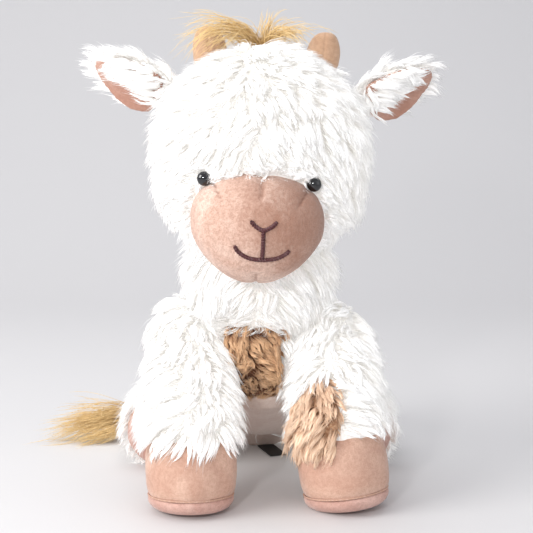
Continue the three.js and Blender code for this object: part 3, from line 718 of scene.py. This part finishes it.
def make_muzzle():
    """The stuffed muzzle, with its darts sunk into it."""
    forward = (math.pi / 2, 0, 0)
    bpy.ops.mesh.primitive_uv_sphere_add(segments=160, ring_count=110, radius=1, rotation=forward)
    piece = settle(active("muzzle"))
    ball = points_of(piece.data)
    front = np.sign(ball[:, 1]) * np.abs(ball[:, 1]) ** 0.86
    flat = np.stack([ball[:, 0] * muzzle_outline(ball[:, 2]), ball[:, 2]], axis=1)
    form = np.stack([
        flat[:, 0] * muzzle_half[0], front * MUZZLE_DEPTH, flat[:, 1] * muzzle_half[2],
    ], axis=1)
    outward = unit(np.stack([ball[:, 0] / muzzle_half[0], ball[:, 1] / MUZZLE_DEPTH,
                             ball[:, 2] / muzzle_half[2]], axis=1))
    seam = np.zeros(len(ball))
    sink = np.zeros(len(ball))
    for start, end, depth in DARTS:
        away, share = segment_distance(flat, start, end)
        away = away * muzzle_half[0]
        facing = (ball[:, 1] < 0.3) * (1 - share ** 3)
        groove = np.exp(-(away / (0.9 * MM)) ** 2) * 0.7
        valley = np.exp(-(away / (4 * MM)) ** 2) * 0.5
        sink += depth * facing * (groove + valley)
        # seam marks a thin line along each dart groove, which the muzzle material paints dark as painted
        # shade.
        seam = np.maximum(seam, facing * np.exp(-(away / (0.55 * MM)) ** 2))
    dimple = smooth_noise(form, 60, 3)[:, 0] * 0.35 * MM + smooth_noise(form, 180, 4)[:, 0] * 0.12 * MM
    form = form + outward * (dimple - sink)[:, None]
    set_points(piece.data, in_head(form + muzzle_centre))
    attribute = piece.data.attributes.new("seam", "FLOAT", "POINT")
    attribute.data.foreach_set("value", seam.astype(np.float32))
    return smooth(plump(piece, 1.5 * MM))


def muzzle_material():
    """Pale velour, darker beside the nose, partly worn nap and partly painted shade, with its darts in
    painted shade.
    """
    look = Shade(
        "muzzle_velour", Roughness=0.8, Sheen_Weight=0.3, Sheen_Roughness=0.35, Specular_IOR_Level=0.2,
    )
    light, middle, dark = (0.84, 0.63, 0.53), (0.71, 0.48, 0.385), (0.30, 0.14, 0.09)
    grain = look.noise(1300, 3, 0.65)
    mottle = look.noise(430, 3, 0.6)
    strokes = look.noise(30, 3, 0.5, 0.8)
    # The dark patch on the goat's left of the muzzle is partly worn nap and partly painted shade on the
    # side away from the key light.
    centre = Vector(in_head(muzzle_centre + np.array([0.028, -0.55 * MUZZLE_DEPTH, 0.010])))
    offset = look.node("ShaderNodeVectorMath", {"operation": "DISTANCE"}, {0: look.place(), 1: centre})[1]
    nap_and_shade = 1 - (offset + (strokes - 0.5) * 0.03 + (mottle - 0.5) * 0.01).between(0.014, 0.050)
    base = look.mixed(strokes.between(0.38, 0.62), middle, light)
    base = look.mixed(nap_and_shade * 0.72, base, dark)
    speckle = grain.between(0.38, 0.62) * 0.5 + mottle.between(0.35, 0.65) * 0.5
    base = look.mixed((1 - speckle) * 0.55, base, dark)
    # Along the darts the velour is darkened as painted shade in their grooves.
    seam = look.attribute("seam")
    return look.feed(
        Base_Color=look.mixed(seam * 0.7, base, (0.22, 0.09, 0.055)),
        Normal=look.bump(grain * 0.6 + mottle * 0.8, 0.75, 0.0011),
    )


muzzle = wear(make_muzzle(), "head", muzzle_material())
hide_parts("muzzle_shell", "muzzle_stuffing")
muzzle_tree = surface_of(muzzle)[0]


def on_muzzle(points, lift):
    """Points of the head's front view, laid on the muzzle and lifted off it."""
    placed = []
    for x, z in points:
        start = Vector(in_head([x, muzzle_centre[1] - 0.1, z]))
        way = Vector(in_head([x, muzzle_centre[1], z])) - start
        spot, normal = muzzle_tree.ray_cast(start, way.normalized())[:2]
        placed.append(spot + normal * lift)
    return np.array([list(p) for p in placed])


def resampled(points, count):
    points = np.asarray(points, float)
    length = np.concatenate([[0], np.cumsum(np.linalg.norm(np.diff(points, axis=0), axis=1))])
    wanted = np.linspace(0, length[-1], count)
    return np.stack([np.interp(wanted, length, points[:, i]) for i in range(points.shape[1])], axis=1)


def curve_through(points, count=60):
    """A smooth curve through points, by Catmull-Rom."""
    points = np.asarray(points, float)
    padded = np.vstack([2 * points[0] - points[1], points, 2 * points[-1] - points[-2]])
    parts = []
    for a, b, c, d in zip(padded, padded[1:], padded[2:], padded[3:]):
        t = np.linspace(0, 1, 24, endpoint=False)[:, None]
        parts.append(0.5 * (2 * b + (c - a) * t + (2 * a - 5 * b + 4 * c - d) * t ** 2
                            + (3 * b - a - 3 * c + d) * t ** 3))
    return resampled(np.vstack([*parts, points[-1:]]), count)


def tube(name, path, radius, corners=8):
    """A closed round tube along a path, with rounded ends."""
    path = np.asarray(path, float)
    tangent = unit(np.gradient(path, axis=0))
    across = unit(np.cross(tangent, np.array([0.1, 0.2, 1.0])))
    up = np.cross(tangent, across)
    shares = np.linspace(0, 1, len(path))
    width = radius * np.sqrt(np.clip(1 - np.maximum(1 - shares * len(path) / 3, 0) ** 2, 0.05, 1))
    width *= np.sqrt(np.clip(1 - np.maximum(1 - (1 - shares) * len(path) / 3, 0) ** 2, 0.05, 1))
    angles = np.arange(corners) * 2 * math.pi / corners
    rings = path[:, None] + width[:, None, None] * (
        np.cos(angles)[None, :, None] * across[:, None] + np.sin(angles)[None, :, None] * up[:, None]
    )
    faces = []
    for i in range(len(path) - 1):
        for c in range(corners):
            a, b = i * corners + c, i * corners + (c + 1) % corners
            faces.append((a, b, b + corners, a + corners))
    faces.append(tuple(reversed(range(corners))))
    faces.append(tuple(range((len(path) - 1) * corners, len(path) * corners)))
    mesh = bpy.data.meshes.new(name)
    mesh.from_pydata(rings.reshape(-1, 3).tolist(), [], faces)
    return smooth(new_piece(name, mesh))


def joined(name, pieces):
    """Several meshes as one piece."""
    bpy.ops.object.select_all(action="DESELECT")
    for piece in pieces:
        piece.select_set(True)
    bpy.context.view_layer.objects.active = pieces[0]
    bpy.ops.object.join()
    return active(name)


def twisted(name, path, radius, plies=2, pitch=3.2 * MM):
    """A thread of plies wound round each other along a path."""
    length = np.linalg.norm(np.diff(path, axis=0), axis=1).sum()
    path = resampled(path, int(length / (0.45 * MM)) + 4)
    tangent = unit(np.gradient(path, axis=0))
    across = unit(np.cross(tangent, np.array([0.1, 1.0, 0.2])))
    up = np.cross(tangent, across)
    turn = np.linspace(0, length / pitch * 2 * math.pi, len(path))
    strands = []
    for ply in range(plies):
        angle = turn + ply * 2 * math.pi / plies
        offset = np.cos(angle)[:, None] * across + np.sin(angle)[:, None] * up
        strands.append(tube(f"{name}_{ply}", path + offset * radius * 0.45, radius * 0.62, 6))
    return joined(name, strands)


STITCH_SIDEWAYS = 4 * MM
STITCHES = {
    "nose_stitch": ((-7.6, 6.8), (-5.2, 4.0), (-1.6, 1.9), (0, 1.6), (1.6, 1.9), (5.2, 4.0), (7.6, 6.8)),
    "lip_stitch": ((0, 2.2), (0.2, -7.0), (0, -15.8)),
    "smile_stitch": ((-16.4, -8.2), (-14.2, -11.6), (-8.4, -15.0), (0, -16.0), (8.4, -14.8), (13.6, -12.0),
                     (15.6, -9.8)),
}
for name, points in STITCHES.items():
    flat = [(muzzle_centre[0] + STITCH_SIDEWAYS + x * MM, muzzle_centre[2] + z * MM) for x, z in points]
    line = on_muzzle(curve_through(flat, 70), 0.35 * MM)
    stroke = twisted(name + "_thread", line, THREAD_RADIUS)
    wear(stroke, "head", THREAD)
    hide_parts(name)


# ---------------------------------------------------------------- eyes

def make_eye(side):
    """A black domed eye, flatter at its back."""
    node = "eye_" + side
    low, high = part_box(node)
    x, z = (low.x + high.x) / 2, (low.z + high.z) / 2
    bpy.ops.mesh.primitive_uv_sphere_add(segments=40, ring_count=24, radius=EYE_RADIUS)
    piece = settle(active(node + "_dome"))
    points = points_of(piece.data)
    points[:, 1] *= 0.8
    back = points[:, 1] > 0
    points[back, 1] *= 0.5
    set_points(piece.data, points + np.array([x, low.y + 3.9 * MM, z]))
    smooth(piece)
    wear(piece, "head", EYE_BLACK)
    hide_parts(node)
    return piece


eyes = [make_eye("left"), make_eye("right")]
WASHER = plain_material("washer_plastic", (0.75, 0.77, 0.78), 0.45, 0.03)
for side in ("left", "right"):
    frame["nodes"]["eye_washer_" + side].data.materials.clear()
    frame["nodes"]["eye_washer_" + side].data.materials.append(WASHER)


# ---------------------------------------------------------------- ears

def make_lining(side):
    """The velour inside of an ear, a little raised and rounded at its edge."""
    node = "ear_lining_" + side
    piece = copied([node], node + "_velour")
    modified(piece, "REMESH", mode="VOXEL", voxel_size=0.8 * MM)
    modified(piece, "SMOOTH", factor=0.5, iterations=5)
    modified(piece, "DISPLACE", strength=0.5 * MM, mid_level=0)
    smooth(piece)
    wear(piece, "ear_" + side, EAR_VELOUR)
    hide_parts(node)
    return piece


linings = {side: make_lining(side) for side in ("left", "right")}


# ---------------------------------------------------------------- horns

def make_horn(side):
    """A stuffed velour cone with a rounded tip and a seam up its side."""
    node = "horn_" + side
    low, high = unleaned_box(node)
    centre = (low + high) / 2
    radius = (high[0] - low[0]) / 2
    height = 32 * MM
    bpy.ops.mesh.primitive_uv_sphere_add(segments=72, ring_count=48, radius=1)
    piece = settle(active(node + "_velour"))
    ball = points_of(piece.data)
    rise = (ball[:, 2] + 1) / 2
    ring = np.linalg.norm(ball[:, :2], axis=1, keepdims=True)
    spread = np.maximum(ring, 1e-6) ** -0.28
    taper = (1.02 - 0.12 * rise)[:, None]
    form = np.concatenate([ball[:, :2] * spread * taper * radius, (rise * height)[:, None]], axis=1)
    angle = np.arctan2(ball[:, 1], ball[:, 0])
    seam = np.exp(-((angle + math.pi / 2) / 0.07) ** 2) + np.exp(-((angle - math.pi / 2) / 0.07) ** 2)
    form[:, :2] *= (1 - 0.07 * seam)[:, None]
    form += smooth_noise(form, 90, 8) * 0.5 * MM
    sway = 3 * MM if side == "left" else -3 * MM
    form[:, 0] += sway * rise
    base = np.array([centre[0] - sway / 2, centre[1], high[2] - height + 0.4 * MM])
    set_points(piece.data, in_head(form + base))
    smooth(plump(piece, 0.8 * MM, 2.5 * MM))
    wear(piece, "head", HORN_VELOUR)
    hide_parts(node)
    return piece


horns = [make_horn("left"), make_horn("right")]


# ---------------------------------------------------------------- hooves

FRONT_FEET = {
    "front_leg_right": ((-42, -160, 0), 6, 0), "front_leg_left": ((56, -154, 0), 6, -7),
}
HIND_FEET = {
    "hind_leg_left": ((68, -79, 24), 88, 0), "hind_leg_right": ((-68, -79, 24), 88, 0),
}


def foot_place(at, lean, roll):
    """A foot's frame: the middle of its sole in mm, and its lean and roll in degrees."""
    turn = Matrix.Rotation(math.radians(roll), 4, "Y") @ Matrix.Rotation(math.radians(-lean), 4, "X")
    return Matrix.Translation(Vector(at) * MM) @ turn


def turned(name, profile, around, rows):
    """A closed turned form: a ball whose rings are moved to a profile of (radius, height) in mm."""
    rows_mm = curve_through(profile, rows + 1)
    bpy.ops.mesh.primitive_uv_sphere_add(segments=around, ring_count=rows, radius=1)
    piece = settle(active(name))
    ball = points_of(piece.data)
    row = np.rint(np.arccos(np.clip(-ball[:, 2], -1, 1)) / math.pi * rows).astype(int)
    radius, height = rows_mm[row].T
    set_points(piece.data, np.column_stack([unit(ball[:, :2]) * radius[:, None], height]) * MM)
    return piece


def make_hoof(leg, foot, radius, height):
    """A velour boot and its sole, each stuffed, with a raised seam between them."""
    place = foot_place(*foot)
    r = radius
    boot_profile = (
        (0, 9.8), (r * 0.6, 9.6), (r - 3.2, 9.7), (r - 1.4, 11), (r - 0.5, 13.6), (r + 0.3, 19),
        (r + 0.5, 27), (r - 0.3, height - 14), (r - 2.6, height - 8), (r - 7.0, height - 3),
        (r * 0.4, height - 1), (0, height - 1),
    )
    sole_profile = (
        (0, 0.7), (r * 0.45, 0.6), (r * 0.72, 0.9), (r - 4.0, 2.9), (r - 1.9, 5.8), (r - 1.7, 8.6),
        (r - 4, SOLE_THICKNESS), (r * 0.5, SOLE_THICKNESS + 0.4), (0, SOLE_THICKNESS + 0.4),
    )
    boot = turned(leg + "_hoof_velour", boot_profile, 96, 60)
    sole = turned(leg + "_sole_velour", sole_profile, 96, 36)
    for piece, material, slot, seed in (
        (boot, HOOF_VELOUR, "velour", 11), (sole, SOLE_VELOUR, "sole_velour", 12),
    ):
        points = points_of(piece.data)
        outward = unit(points * np.array([1, 1, 0]))
        broad = smooth_noise(points, 45, seed)[:, 0] * 0.9 * MM
        swell = broad + smooth_noise(points, 140, seed + 2)[:, 0] * 0.25 * MM
        angle = np.arctan2(points[:, 1], points[:, 0])
        near_seam = np.exp(-((points[:, 2] - 10 * MM) / (4.5 * MM)) ** 2)
        pucker = near_seam * np.sin(angle * 46 + smooth_noise(points, 120, seed + 4)[:, 0] * 6) * 0.14 * MM
        side_seam = np.exp(-((np.abs(angle) - math.pi) / 0.03) ** 2) + np.exp(-(angle / 0.03) ** 2)
        dent = side_seam * 0.7 * MM * (slot == "velour")
        points = points + outward * (swell + pucker - dent)[:, None]
        place_turn = np.array(place.to_3x3())
        points = points @ place_turn.T + np.array(place.translation)
        set_points(piece.data, points)
        smooth(plump(piece, 0.8 * MM, 3 * MM))
        points = points_of(piece.data)
        points[:, 2] = np.maximum(points[:, 2], 0.1 * MM)
        set_points(piece.data, points)
        wear(piece, leg, material)
    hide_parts(leg + "_hoof")
    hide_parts(leg + "_sole")
    angles = np.linspace(0, 2 * math.pi, 120, endpoint=False)
    ring = np.stack([np.cos(angles), np.sin(angles), 0 * angles], axis=1) * (r - 1.5) * MM
    ring[:, 2] = SOLE_THICKNESS * MM
    ring = np.vstack([ring, ring[:2]]) @ np.array(place.to_3x3()).T + np.array(place.translation)
    ring[:, 2] = np.maximum(ring[:, 2], 0.7 * MM)
    seam = tube(leg + "_sole_seam", ring, SEAM_RADIUS, 8)
    wear(seam, leg, SEAM_SHADE)
    return [boot, sole]


hooves = {}
for leg, foot in FRONT_FEET.items():
    hooves[leg] = make_hoof(leg, foot, FRONT_HOOF_RADIUS, FRONT_HOOF_HEIGHT)
for leg, foot in HIND_FEET.items():
    hooves[leg] = make_hoof(leg, foot, HIND_HOOF_RADIUS, HIND_HOOF_HEIGHT)


# ---------------------------------------------------------------- patches, belly and label

def patch_ground(node, body, material, voxel=1.6 * MM, lift=0.2 * MM):
    """The cloth of a patch let into a skin."""
    piece = copied([node], node + "_cloth")
    modified(piece, "REMESH", mode="VOXEL", voxel_size=voxel)
    modified(piece, "SMOOTH", factor=0.5, iterations=6)
    modified(piece, "DISPLACE", strength=lift, mid_level=0)
    smooth(piece)
    wear(piece, body, material)
    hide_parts(node)
    return piece


chest_cloth = patch_ground("chest_patch", "torso", CURLY_GROUND)
leg_cloth = patch_ground("front_leg_left_patch", "front_leg_left", PALE_GROUND)
belly_cloth = patch_ground("belly_panel", "torso", BELLY_VELOUR, 1.6 * MM, 0.4 * MM)

label = frame["nodes"]["care_label"]
label.data.materials.clear()
label.data.materials.append(LABEL_CLOTH)


# ---------------------------------------------------------------- the fur

def downward(roots, normals):
    """Straight down."""
    return np.tile([0, 0, -1.0], (len(roots), 1))


def sideways(roots, normals):
    """To the goat's right, along its tail."""
    return np.tile([-1.0, 0, 0.1], (len(roots), 1))


def anywhere(roots, normals):
    """A test that keeps every root."""
    return np.ones(len(roots), bool)


def point(*mm):
    """A point given in mm."""
    return np.array(mm) * MM


eye_places = np.array([list(middle_of("eye_left")), list(middle_of("eye_right"))])
muzzle_front = in_head(muzzle_centre)
crown = point(-2, -95, 288)


def push_from(roots, centre, reach):
    """Away from a centre, strongly beside it and not at all beyond its reach."""
    away = roots - centre
    distance = np.linalg.norm(away, axis=1, keepdims=True)
    return away / distance * np.exp(-(distance / reach) ** 2)


def near_ears(roots):
    """1 at the roots of the ears, fading to nothing round them."""
    pivots = [np.array(joints[f"ear_{side}_flap"]["pos_m"]) + point(0, 0, 8) for side in ("left", "right")]
    return sum(np.exp(-(np.linalg.norm(roots - pivot, axis=1) / (22 * MM)) ** 2) for pivot in pivots)


def near_horns(roots):
    """1 at the roots of the horns, fading to nothing round them."""
    bases = [np.array(middle_of("horn_" + side)) - point(0, 6, 14) for side in ("left", "right")]
    return sum(np.exp(-(np.linalg.norm(roots - base, axis=1) / (14 * MM)) ** 2) for base in bases)


def head_flow(roots, normals):
    """Out from the crown and down, away from the face's middle line and clear of the eyes."""
    flow = unit(roots - crown) * 0.6 + np.array([0, 0, -0.8])
    flow[:, 0] += roots[:, 0] * 9
    from_muzzle = roots - muzzle_front
    across_face = np.linalg.norm(from_muzzle[:, [0, 2]] / muzzle_half[[0, 2]], axis=1)
    edge = np.clip(1.45 - across_face, 0, 0.45)[:, None]
    flow += unit(from_muzzle) * edge * 5 * (roots[:, 1:2] < muzzle_front[1] + 25 * MM)
    for eye in eye_places:
        flow += push_from(roots, eye, 9 * MM) * 2.2
    flow += near_horns(roots)[:, None] * np.array([0, 0, 3.5])
    flow += near_ears(roots)[:, None] * np.sign(roots[:, :1]) * np.array([2.0, 0, 0.5])
    return flow


def head_trim(roots):
    """Shorter pile round the muzzle and eyes, and longer pile over the roots of the ears."""
    near = np.array([min(tree.find_nearest(Vector(root))[3] for tree in face_parts) for root in roots])
    return 0.5 + 0.55 * np.clip(near / (22 * MM), 0, 1) ** 0.8 + 0.7 * near_ears(roots)


def ear_axes(side):
    """An ear's middle and axes: outward along it, across it to its upper edge, and out of its lining."""
    points = points_of(frame["nodes"]["ear_outer_" + side].data)
    middle = points.mean(axis=0)
    axes = np.linalg.eigh(np.cov((points - middle).T))[1]
    along, across, facing = axes[:, 2], axes[:, 1], axes[:, 0]
    outward = np.sign(along[0]) * (1 if side == "left" else -1)
    return along * outward, across * np.sign(across[2]), facing * -np.sign(facing[1]), middle


def ear_flow(side):
    """Along the ear, forward over the lining at its upper edge and back behind it at its lower edge."""
    along, across, _, middle = ear_axes(side)

    def flow(roots, normals):
        up = np.clip((roots - middle) @ across / (16 * MM), -1, 1)[:, None]
        forward = np.array([0, -0.5, -0.5]) * np.clip(up, 0, 1)
        back = np.array([0, 1.2, -0.3]) * np.clip(-up, 0, 1)
        return along * 0.9 + forward + back
    return flow


def ear_back(side):
    """A test for roots on the back of an ear, along its upper edge and at its root."""
    along, across, facing, middle = ear_axes(side)

    def test(roots, normals):
        from_middle = roots - middle
        edge = (from_middle @ across > 9 * MM) | (from_middle @ along < -17 * MM)
        return (normals @ facing < -0.25) | edge
    return test


def ear_front(side):
    """A test for roots on the upper part of an ear's front, where the pile rolls over the lining."""
    along, across, facing, middle = ear_axes(side)

    def test(roots, normals):
        out = (roots - middle) @ along
        upper = (roots - middle) @ across > -1 * MM + 0.4 * out
        return upper & (normals @ facing > -0.6) & (out < 18 * MM)
    return test


face_parts = surface_of(muzzle, *eyes)
horn_trees = surface_of(*horns)
skin_trees = {name: surface_of(piece)[0] for name, piece in skins.items()}
chest_trees = surface_of(chest_cloth, belly_cloth)
leg_patch_trees = surface_of(leg_cloth)


def others(*names):
    """The skins that fur on these ones must not run into."""
    return [tree for name, tree in skin_trees.items() if name not in names]


def above_cuff(foot, height):
    """A test that a root is higher than this above the foot's sole, in mm."""
    place = np.array(foot_place(*foot).inverted())
    return lambda roots: (roots @ place[:3, :3].T + place[:3, 3])[:, 2] > height * MM


def both(first, second):
    """A test that passes what two tests pass. The second only sees the roots that passed the first."""
    def test(roots, normals):
        kept = first(roots)
        kept[kept] = second(roots[kept], normals[kept])
        return kept
    return test


def outward_down(share):
    """Down, and outward from the middle of the body by a share of that."""
    def flow(roots, normals):
        way = np.tile([0, -0.1, -1.0], (len(roots), 1))
        way[:, 0] += np.sign(roots[:, 0]) * share
        return way
    return flow


def neck_trim(roots):
    """Shorter pile over the curly patch on the chest."""
    patch = point(-3, -128, 112)
    return 1 - 0.65 * np.exp(-(np.linalg.norm(roots - patch, axis=1) / (26 * MM)) ** 2)


def over_the_boot(roots, normals):
    """Forward over the hind hoof, and outward."""
    way = np.tile([0, -1.0, -0.35], (len(roots), 1))
    way[:, 0] += np.sign(roots[:, 0]) * 0.5
    return way


def beside_muzzle(roots, normals):
    """Roots in a narrow band round the muzzle, clear of the eyes."""
    near = np.array([muzzle_tree.find_nearest(Vector(root))[3] for root in roots]) < 7 * MM
    near[near] = clear_of(face_parts, 0.8 * MM, 8 * MM)(roots[near], normals[near])
    return near


FUR_PATCHES = {
    "head": (head_flow, clear_of(face_parts + horn_trees + [skin_trees["neck"]], 1.8 * MM, 5 * MM),
             {"density": 0.42e6, "length": 15 * MM, "trim": head_trim, "steps": 5}),
    "torso": (outward_down(0.5), clear_of(chest_trees + others("torso"), 1.0 * MM, 4 * MM),
              {"length": 18 * MM, "swirl": 1.2, "clump": 5.5 * MM}),
    "neck": (outward_down(0.9), clear_of(others("neck"), 1.0 * MM, 4 * MM),
             {"length": 21 * MM, "trim": neck_trim}),
    "tail": (sideways, clear_of(others("tail"), 0.5 * MM),
             {"length": 7 * MM, "clump": 4 * MM, "lock_width": 1.6 * MM, "lock_depth": 0.8 * MM}),
}
# How far above its sole each leg's fur begins, and the hem over the hoof, in mm.
CUFFS = {"front_leg_right": 46, "front_leg_left": 51, "hind_leg_left": 25, "hind_leg_right": 25}
HEM_HEIGHT = 19
for leg, foot in {**FRONT_FEET, **HIND_FEET}.items():
    near = others(leg) + (leg_patch_trees if leg == "front_leg_left" else [])
    keep = both(above_cuff(foot, CUFFS[leg]), clear_of(near, 0.8 * MM, 3 * MM))
    if leg in HIND_FEET:
        FUR_PATCHES[leg] = (over_the_boot, keep, {"length": 22 * MM, "swirl": 0.9, "droop": 0.3})
    else:
        FUR_PATCHES[leg] = (outward_down(0.55), keep, {"length": 18 * MM, "swirl": 1.2, "droop": 0.5})
for side in ("left", "right"):
    name = "ear_" + side
    FUR_PATCHES[name] = (ear_flow(side), ear_back(side),
                         {"density": 0.6e6, "length": 18 * MM, "lift": 0.5, "lift_end": 0.05, "swirl": 0.7})

for side, lining in linings.items():
    grow(f"ear_{side}_fringe", lining, "ear_" + side, "fur", WHITE_FUR, ear_flow(side), ear_front(side), 51,
         density=0.9e6, length=13 * MM, lift=0.35, lift_end=0.0, swirl=0.6, droop=0.5, clump=2.7 * MM)
for seed, (name, (flow, keep, changes)) in enumerate(FUR_PATCHES.items()):
    grow(name + "_fur", skins[name], name, "fur", WHITE_FUR, flow, keep, seed + 1, **changes)
for leg, foot in HIND_FEET.items():
    hoof_form = copied([leg + "_hoof"], leg + "_form")
    modified(hoof_form, "REMESH", mode="VOXEL", voxel_size=2 * MM)
    grow(leg + "_hem", hoof_form, leg, "fur", WHITE_FUR, over_the_boot,
         both(above_cuff(foot, HEM_HEIGHT), anywhere), 61,
         length=16 * MM, lift=0.45, lift_end=0.05, swirl=0.8)
    bpy.data.meshes.remove(hoof_form.data)
grow("face_rim", skins["head"], "head", "fur", WHITE_FUR, head_flow, beside_muzzle, 62,
     length=7 * MM, density=0.9e6, lift=0.95, lift_end=0.5, clump=2.6 * MM, tuft=6 * MM,
     lock_width=1.0 * MM)


def chest_trim(roots):
    """Shorter curls towards the lower edge of the chest patch."""
    return np.interp(roots[:, 2], [62 * MM, 84 * MM], [0.35, 1.0])


CURL = {
    "density": 0.9e6, "length": 12 * MM, "steps": 6, "curl": 1.3 * MM, "curls": 1.1, "clump": 3.4 * MM,
    "gather": 0.6, "lift": 0.6, "lift_end": 0.15, "radius": 0.22 * MM, "stray": 0.06, "swirl": 3.0,
    "lock_width": 1.3 * MM, "lock_depth": 0.8 * MM, "tuft": 8 * MM,
}
grow("chest_curls", chest_cloth, "torso", "curly_plush", CURLY_PLUSH, downward, anywhere, 31, chest_trim,
     **CURL)
grow("leg_curls", leg_cloth, "front_leg_left", "curly_plush", PALE_PLUSH, downward, anywhere, 32,
     **{**CURL, "curl": 0.4 * MM, "swirl": 0.9, "length": 13 * MM, "lock_width": 1.2 * MM, "lift": 0.5})


# ---------------------------------------------------------------- hair

def hair(name, body, locks, seed):
    """Long fine hair in locks. A lock is its path in mm, strand count, and spread at its root and end."""
    rng = np.random.default_rng(seed)
    paths, tones = [], []
    for points, count, root_spread, end_spread in locks:
        spine = curve_through(np.array(points) * MM, 10)
        share = np.linspace(0, 1, len(spine))[None, :, None]
        start = rng.normal(0, root_spread * MM, (count, 1, 3))
        end = rng.normal(0, end_spread * MM, (count, 1, 3))
        reach = 0.7 + 0.3 * rng.random((count, 1, 1))
        length = np.linspace(0, 1, len(spine))
        stretched = np.stack([
            np.stack([np.interp(length * r, length, spine[:, axis]) for axis in range(3)], axis=1)
            for r in reach.ravel()
        ])
        wave = np.sin(share * 7 + rng.random((count, 1, 3)) * 6) * 1.2 * MM * share
        paths.append(stretched + start * (1 - share) + end * share ** 1.3 + wave)
        tones.append(np.full(count, rng.random()))
    paths = np.concatenate(paths)
    paths[..., 2] = np.maximum(paths[..., 2], 0.4 * MM)
    radius = 0.2 * MM * (0.7 + 0.6 * rng.random(len(paths)))
    across = np.tile([0.3, 1.0, 0.2], (len(paths), 1))
    piece = strand_mesh(name, paths, across, radius, radius, np.concatenate(tones), (1, 1, 0.8, 0.6))
    return wear(piece, body, GOLD_HAIR)


FORELOCK = (
    (((0, -100, 285), (-12, -106, 299), (-32, -109, 302), (-52, -110, 294)), 46, 3.5, 6),
    (((-2, -100, 285), (-16, -108, 297), (-34, -114, 294), (-48, -118, 278)), 40, 3.5, 6.5),
    (((0, -100, 285), (-8, -106, 294), (-20, -112, 294), (-34, -118, 284)), 30, 3.5, 5),
    (((3, -98, 285), (5, -102, 297), (8, -104, 304), (12, -104, 308)), 46, 3.0, 3.4),
    (((6, -98, 285), (14, -104, 296), (26, -108, 299), (36, -112, 292)), 38, 3.5, 6),
    (((4, -98, 285), (12, -106, 294), (20, -110, 294), (26, -112, 286)), 40, 3.5, 4),
    (((0, -94, 285), (-6, -84, 296), (-14, -74, 298), (-24, -66, 290)), 40, 3.5, 5),
    (((4, -94, 285), (10, -84, 296), (18, -76, 296), (26, -68, 288)), 40, 3.5, 5),
)
TAIL = (
    (((-86, 2, 12), (-106, 0, 17), (-132, -4, 13), (-160, -8, 5)), 220, 5, 7),
    (((-86, 4, 9), (-104, 6, 13), (-126, 6, 10), (-146, 8, 5)), 120, 4, 5),
    (((-86, -2, 9), (-104, -10, 9), (-122, -14, 6), (-138, -18, 2)), 120, 4, 4),
    (((-86, 0, 16), (-104, 2, 22), (-126, 2, 22), (-150, 0, 16)), 60, 4, 6),
)
forelock = hair("forelock_hair", "head", FORELOCK, 41)
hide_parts("forelock")
tail_hair = hair("tail_hair", "tail", TAIL, 42)
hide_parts("tail_tuft")


# ---------------------------------------------------------------- stage

def make_floor():
    """A floor that sweeps up into a wall far behind, as one smooth sheet."""
    bend = [(0.9 * math.sin(a), 0.9 * (1 - math.cos(a))) for a in np.linspace(0, math.pi / 2, 24)]
    profile = [(-9.0, 0.0), (0.5, 0.0), *[(0.6 + y, z) for y, z in bend], (1.5, 4.0)]
    vertices = [(x, y, z) for y, z in profile for x in (-9, 9)]
    faces = [(2 * i, 2 * i + 1, 2 * i + 3, 2 * i + 2) for i in range(len(profile) - 1)]
    mesh = bpy.data.meshes.new("floor")
    mesh.from_pydata(vertices, [], faces)
    floor = smooth(new_piece("floor", mesh))
    floor.data.materials.append(plain_material("floor_white", (0.66, 0.65, 0.655), 0.6, 0.01))


def area_light(name, place, aim, size, power, colour=(1, 1, 1)):
    data = bpy.data.lights.new(name, "AREA")
    data.size = size
    data.energy = power
    data.color = colour
    light = bpy.data.objects.new(name, data)
    light.location = place
    light.rotation_euler = (Vector(aim) - Vector(place)).to_track_quat("-Z", "Y").to_euler()
    bpy.context.scene.collection.objects.link(light)


def make_world():
    world = bpy.data.worlds.new("studio")
    world.use_nodes = True
    world.node_tree.nodes["Background"].inputs["Color"].default_value = (0.93, 0.95, 1.0, 1)
    world.node_tree.nodes["Background"].inputs["Strength"].default_value = 0.7
    bpy.context.scene.world = world


make_floor()
make_world()
middle = (0, -0.08, 0.14)
area_light("key", (-1.3, -0.8, 0.9), middle, 0.9, 20, (1, 0.985, 0.96))
area_light("fill", (1.1, -0.9, 0.6), middle, 1.0, 2)
area_light("top", (-0.2, 0.1, 1.3), middle, 1.0, 6)
area_light("glint", (-0.22, -0.9, 0.40), (0, -0.16, 0.2), 0.07, 2.2)
bpy.context.scene.view_settings.view_transform = "Standard"
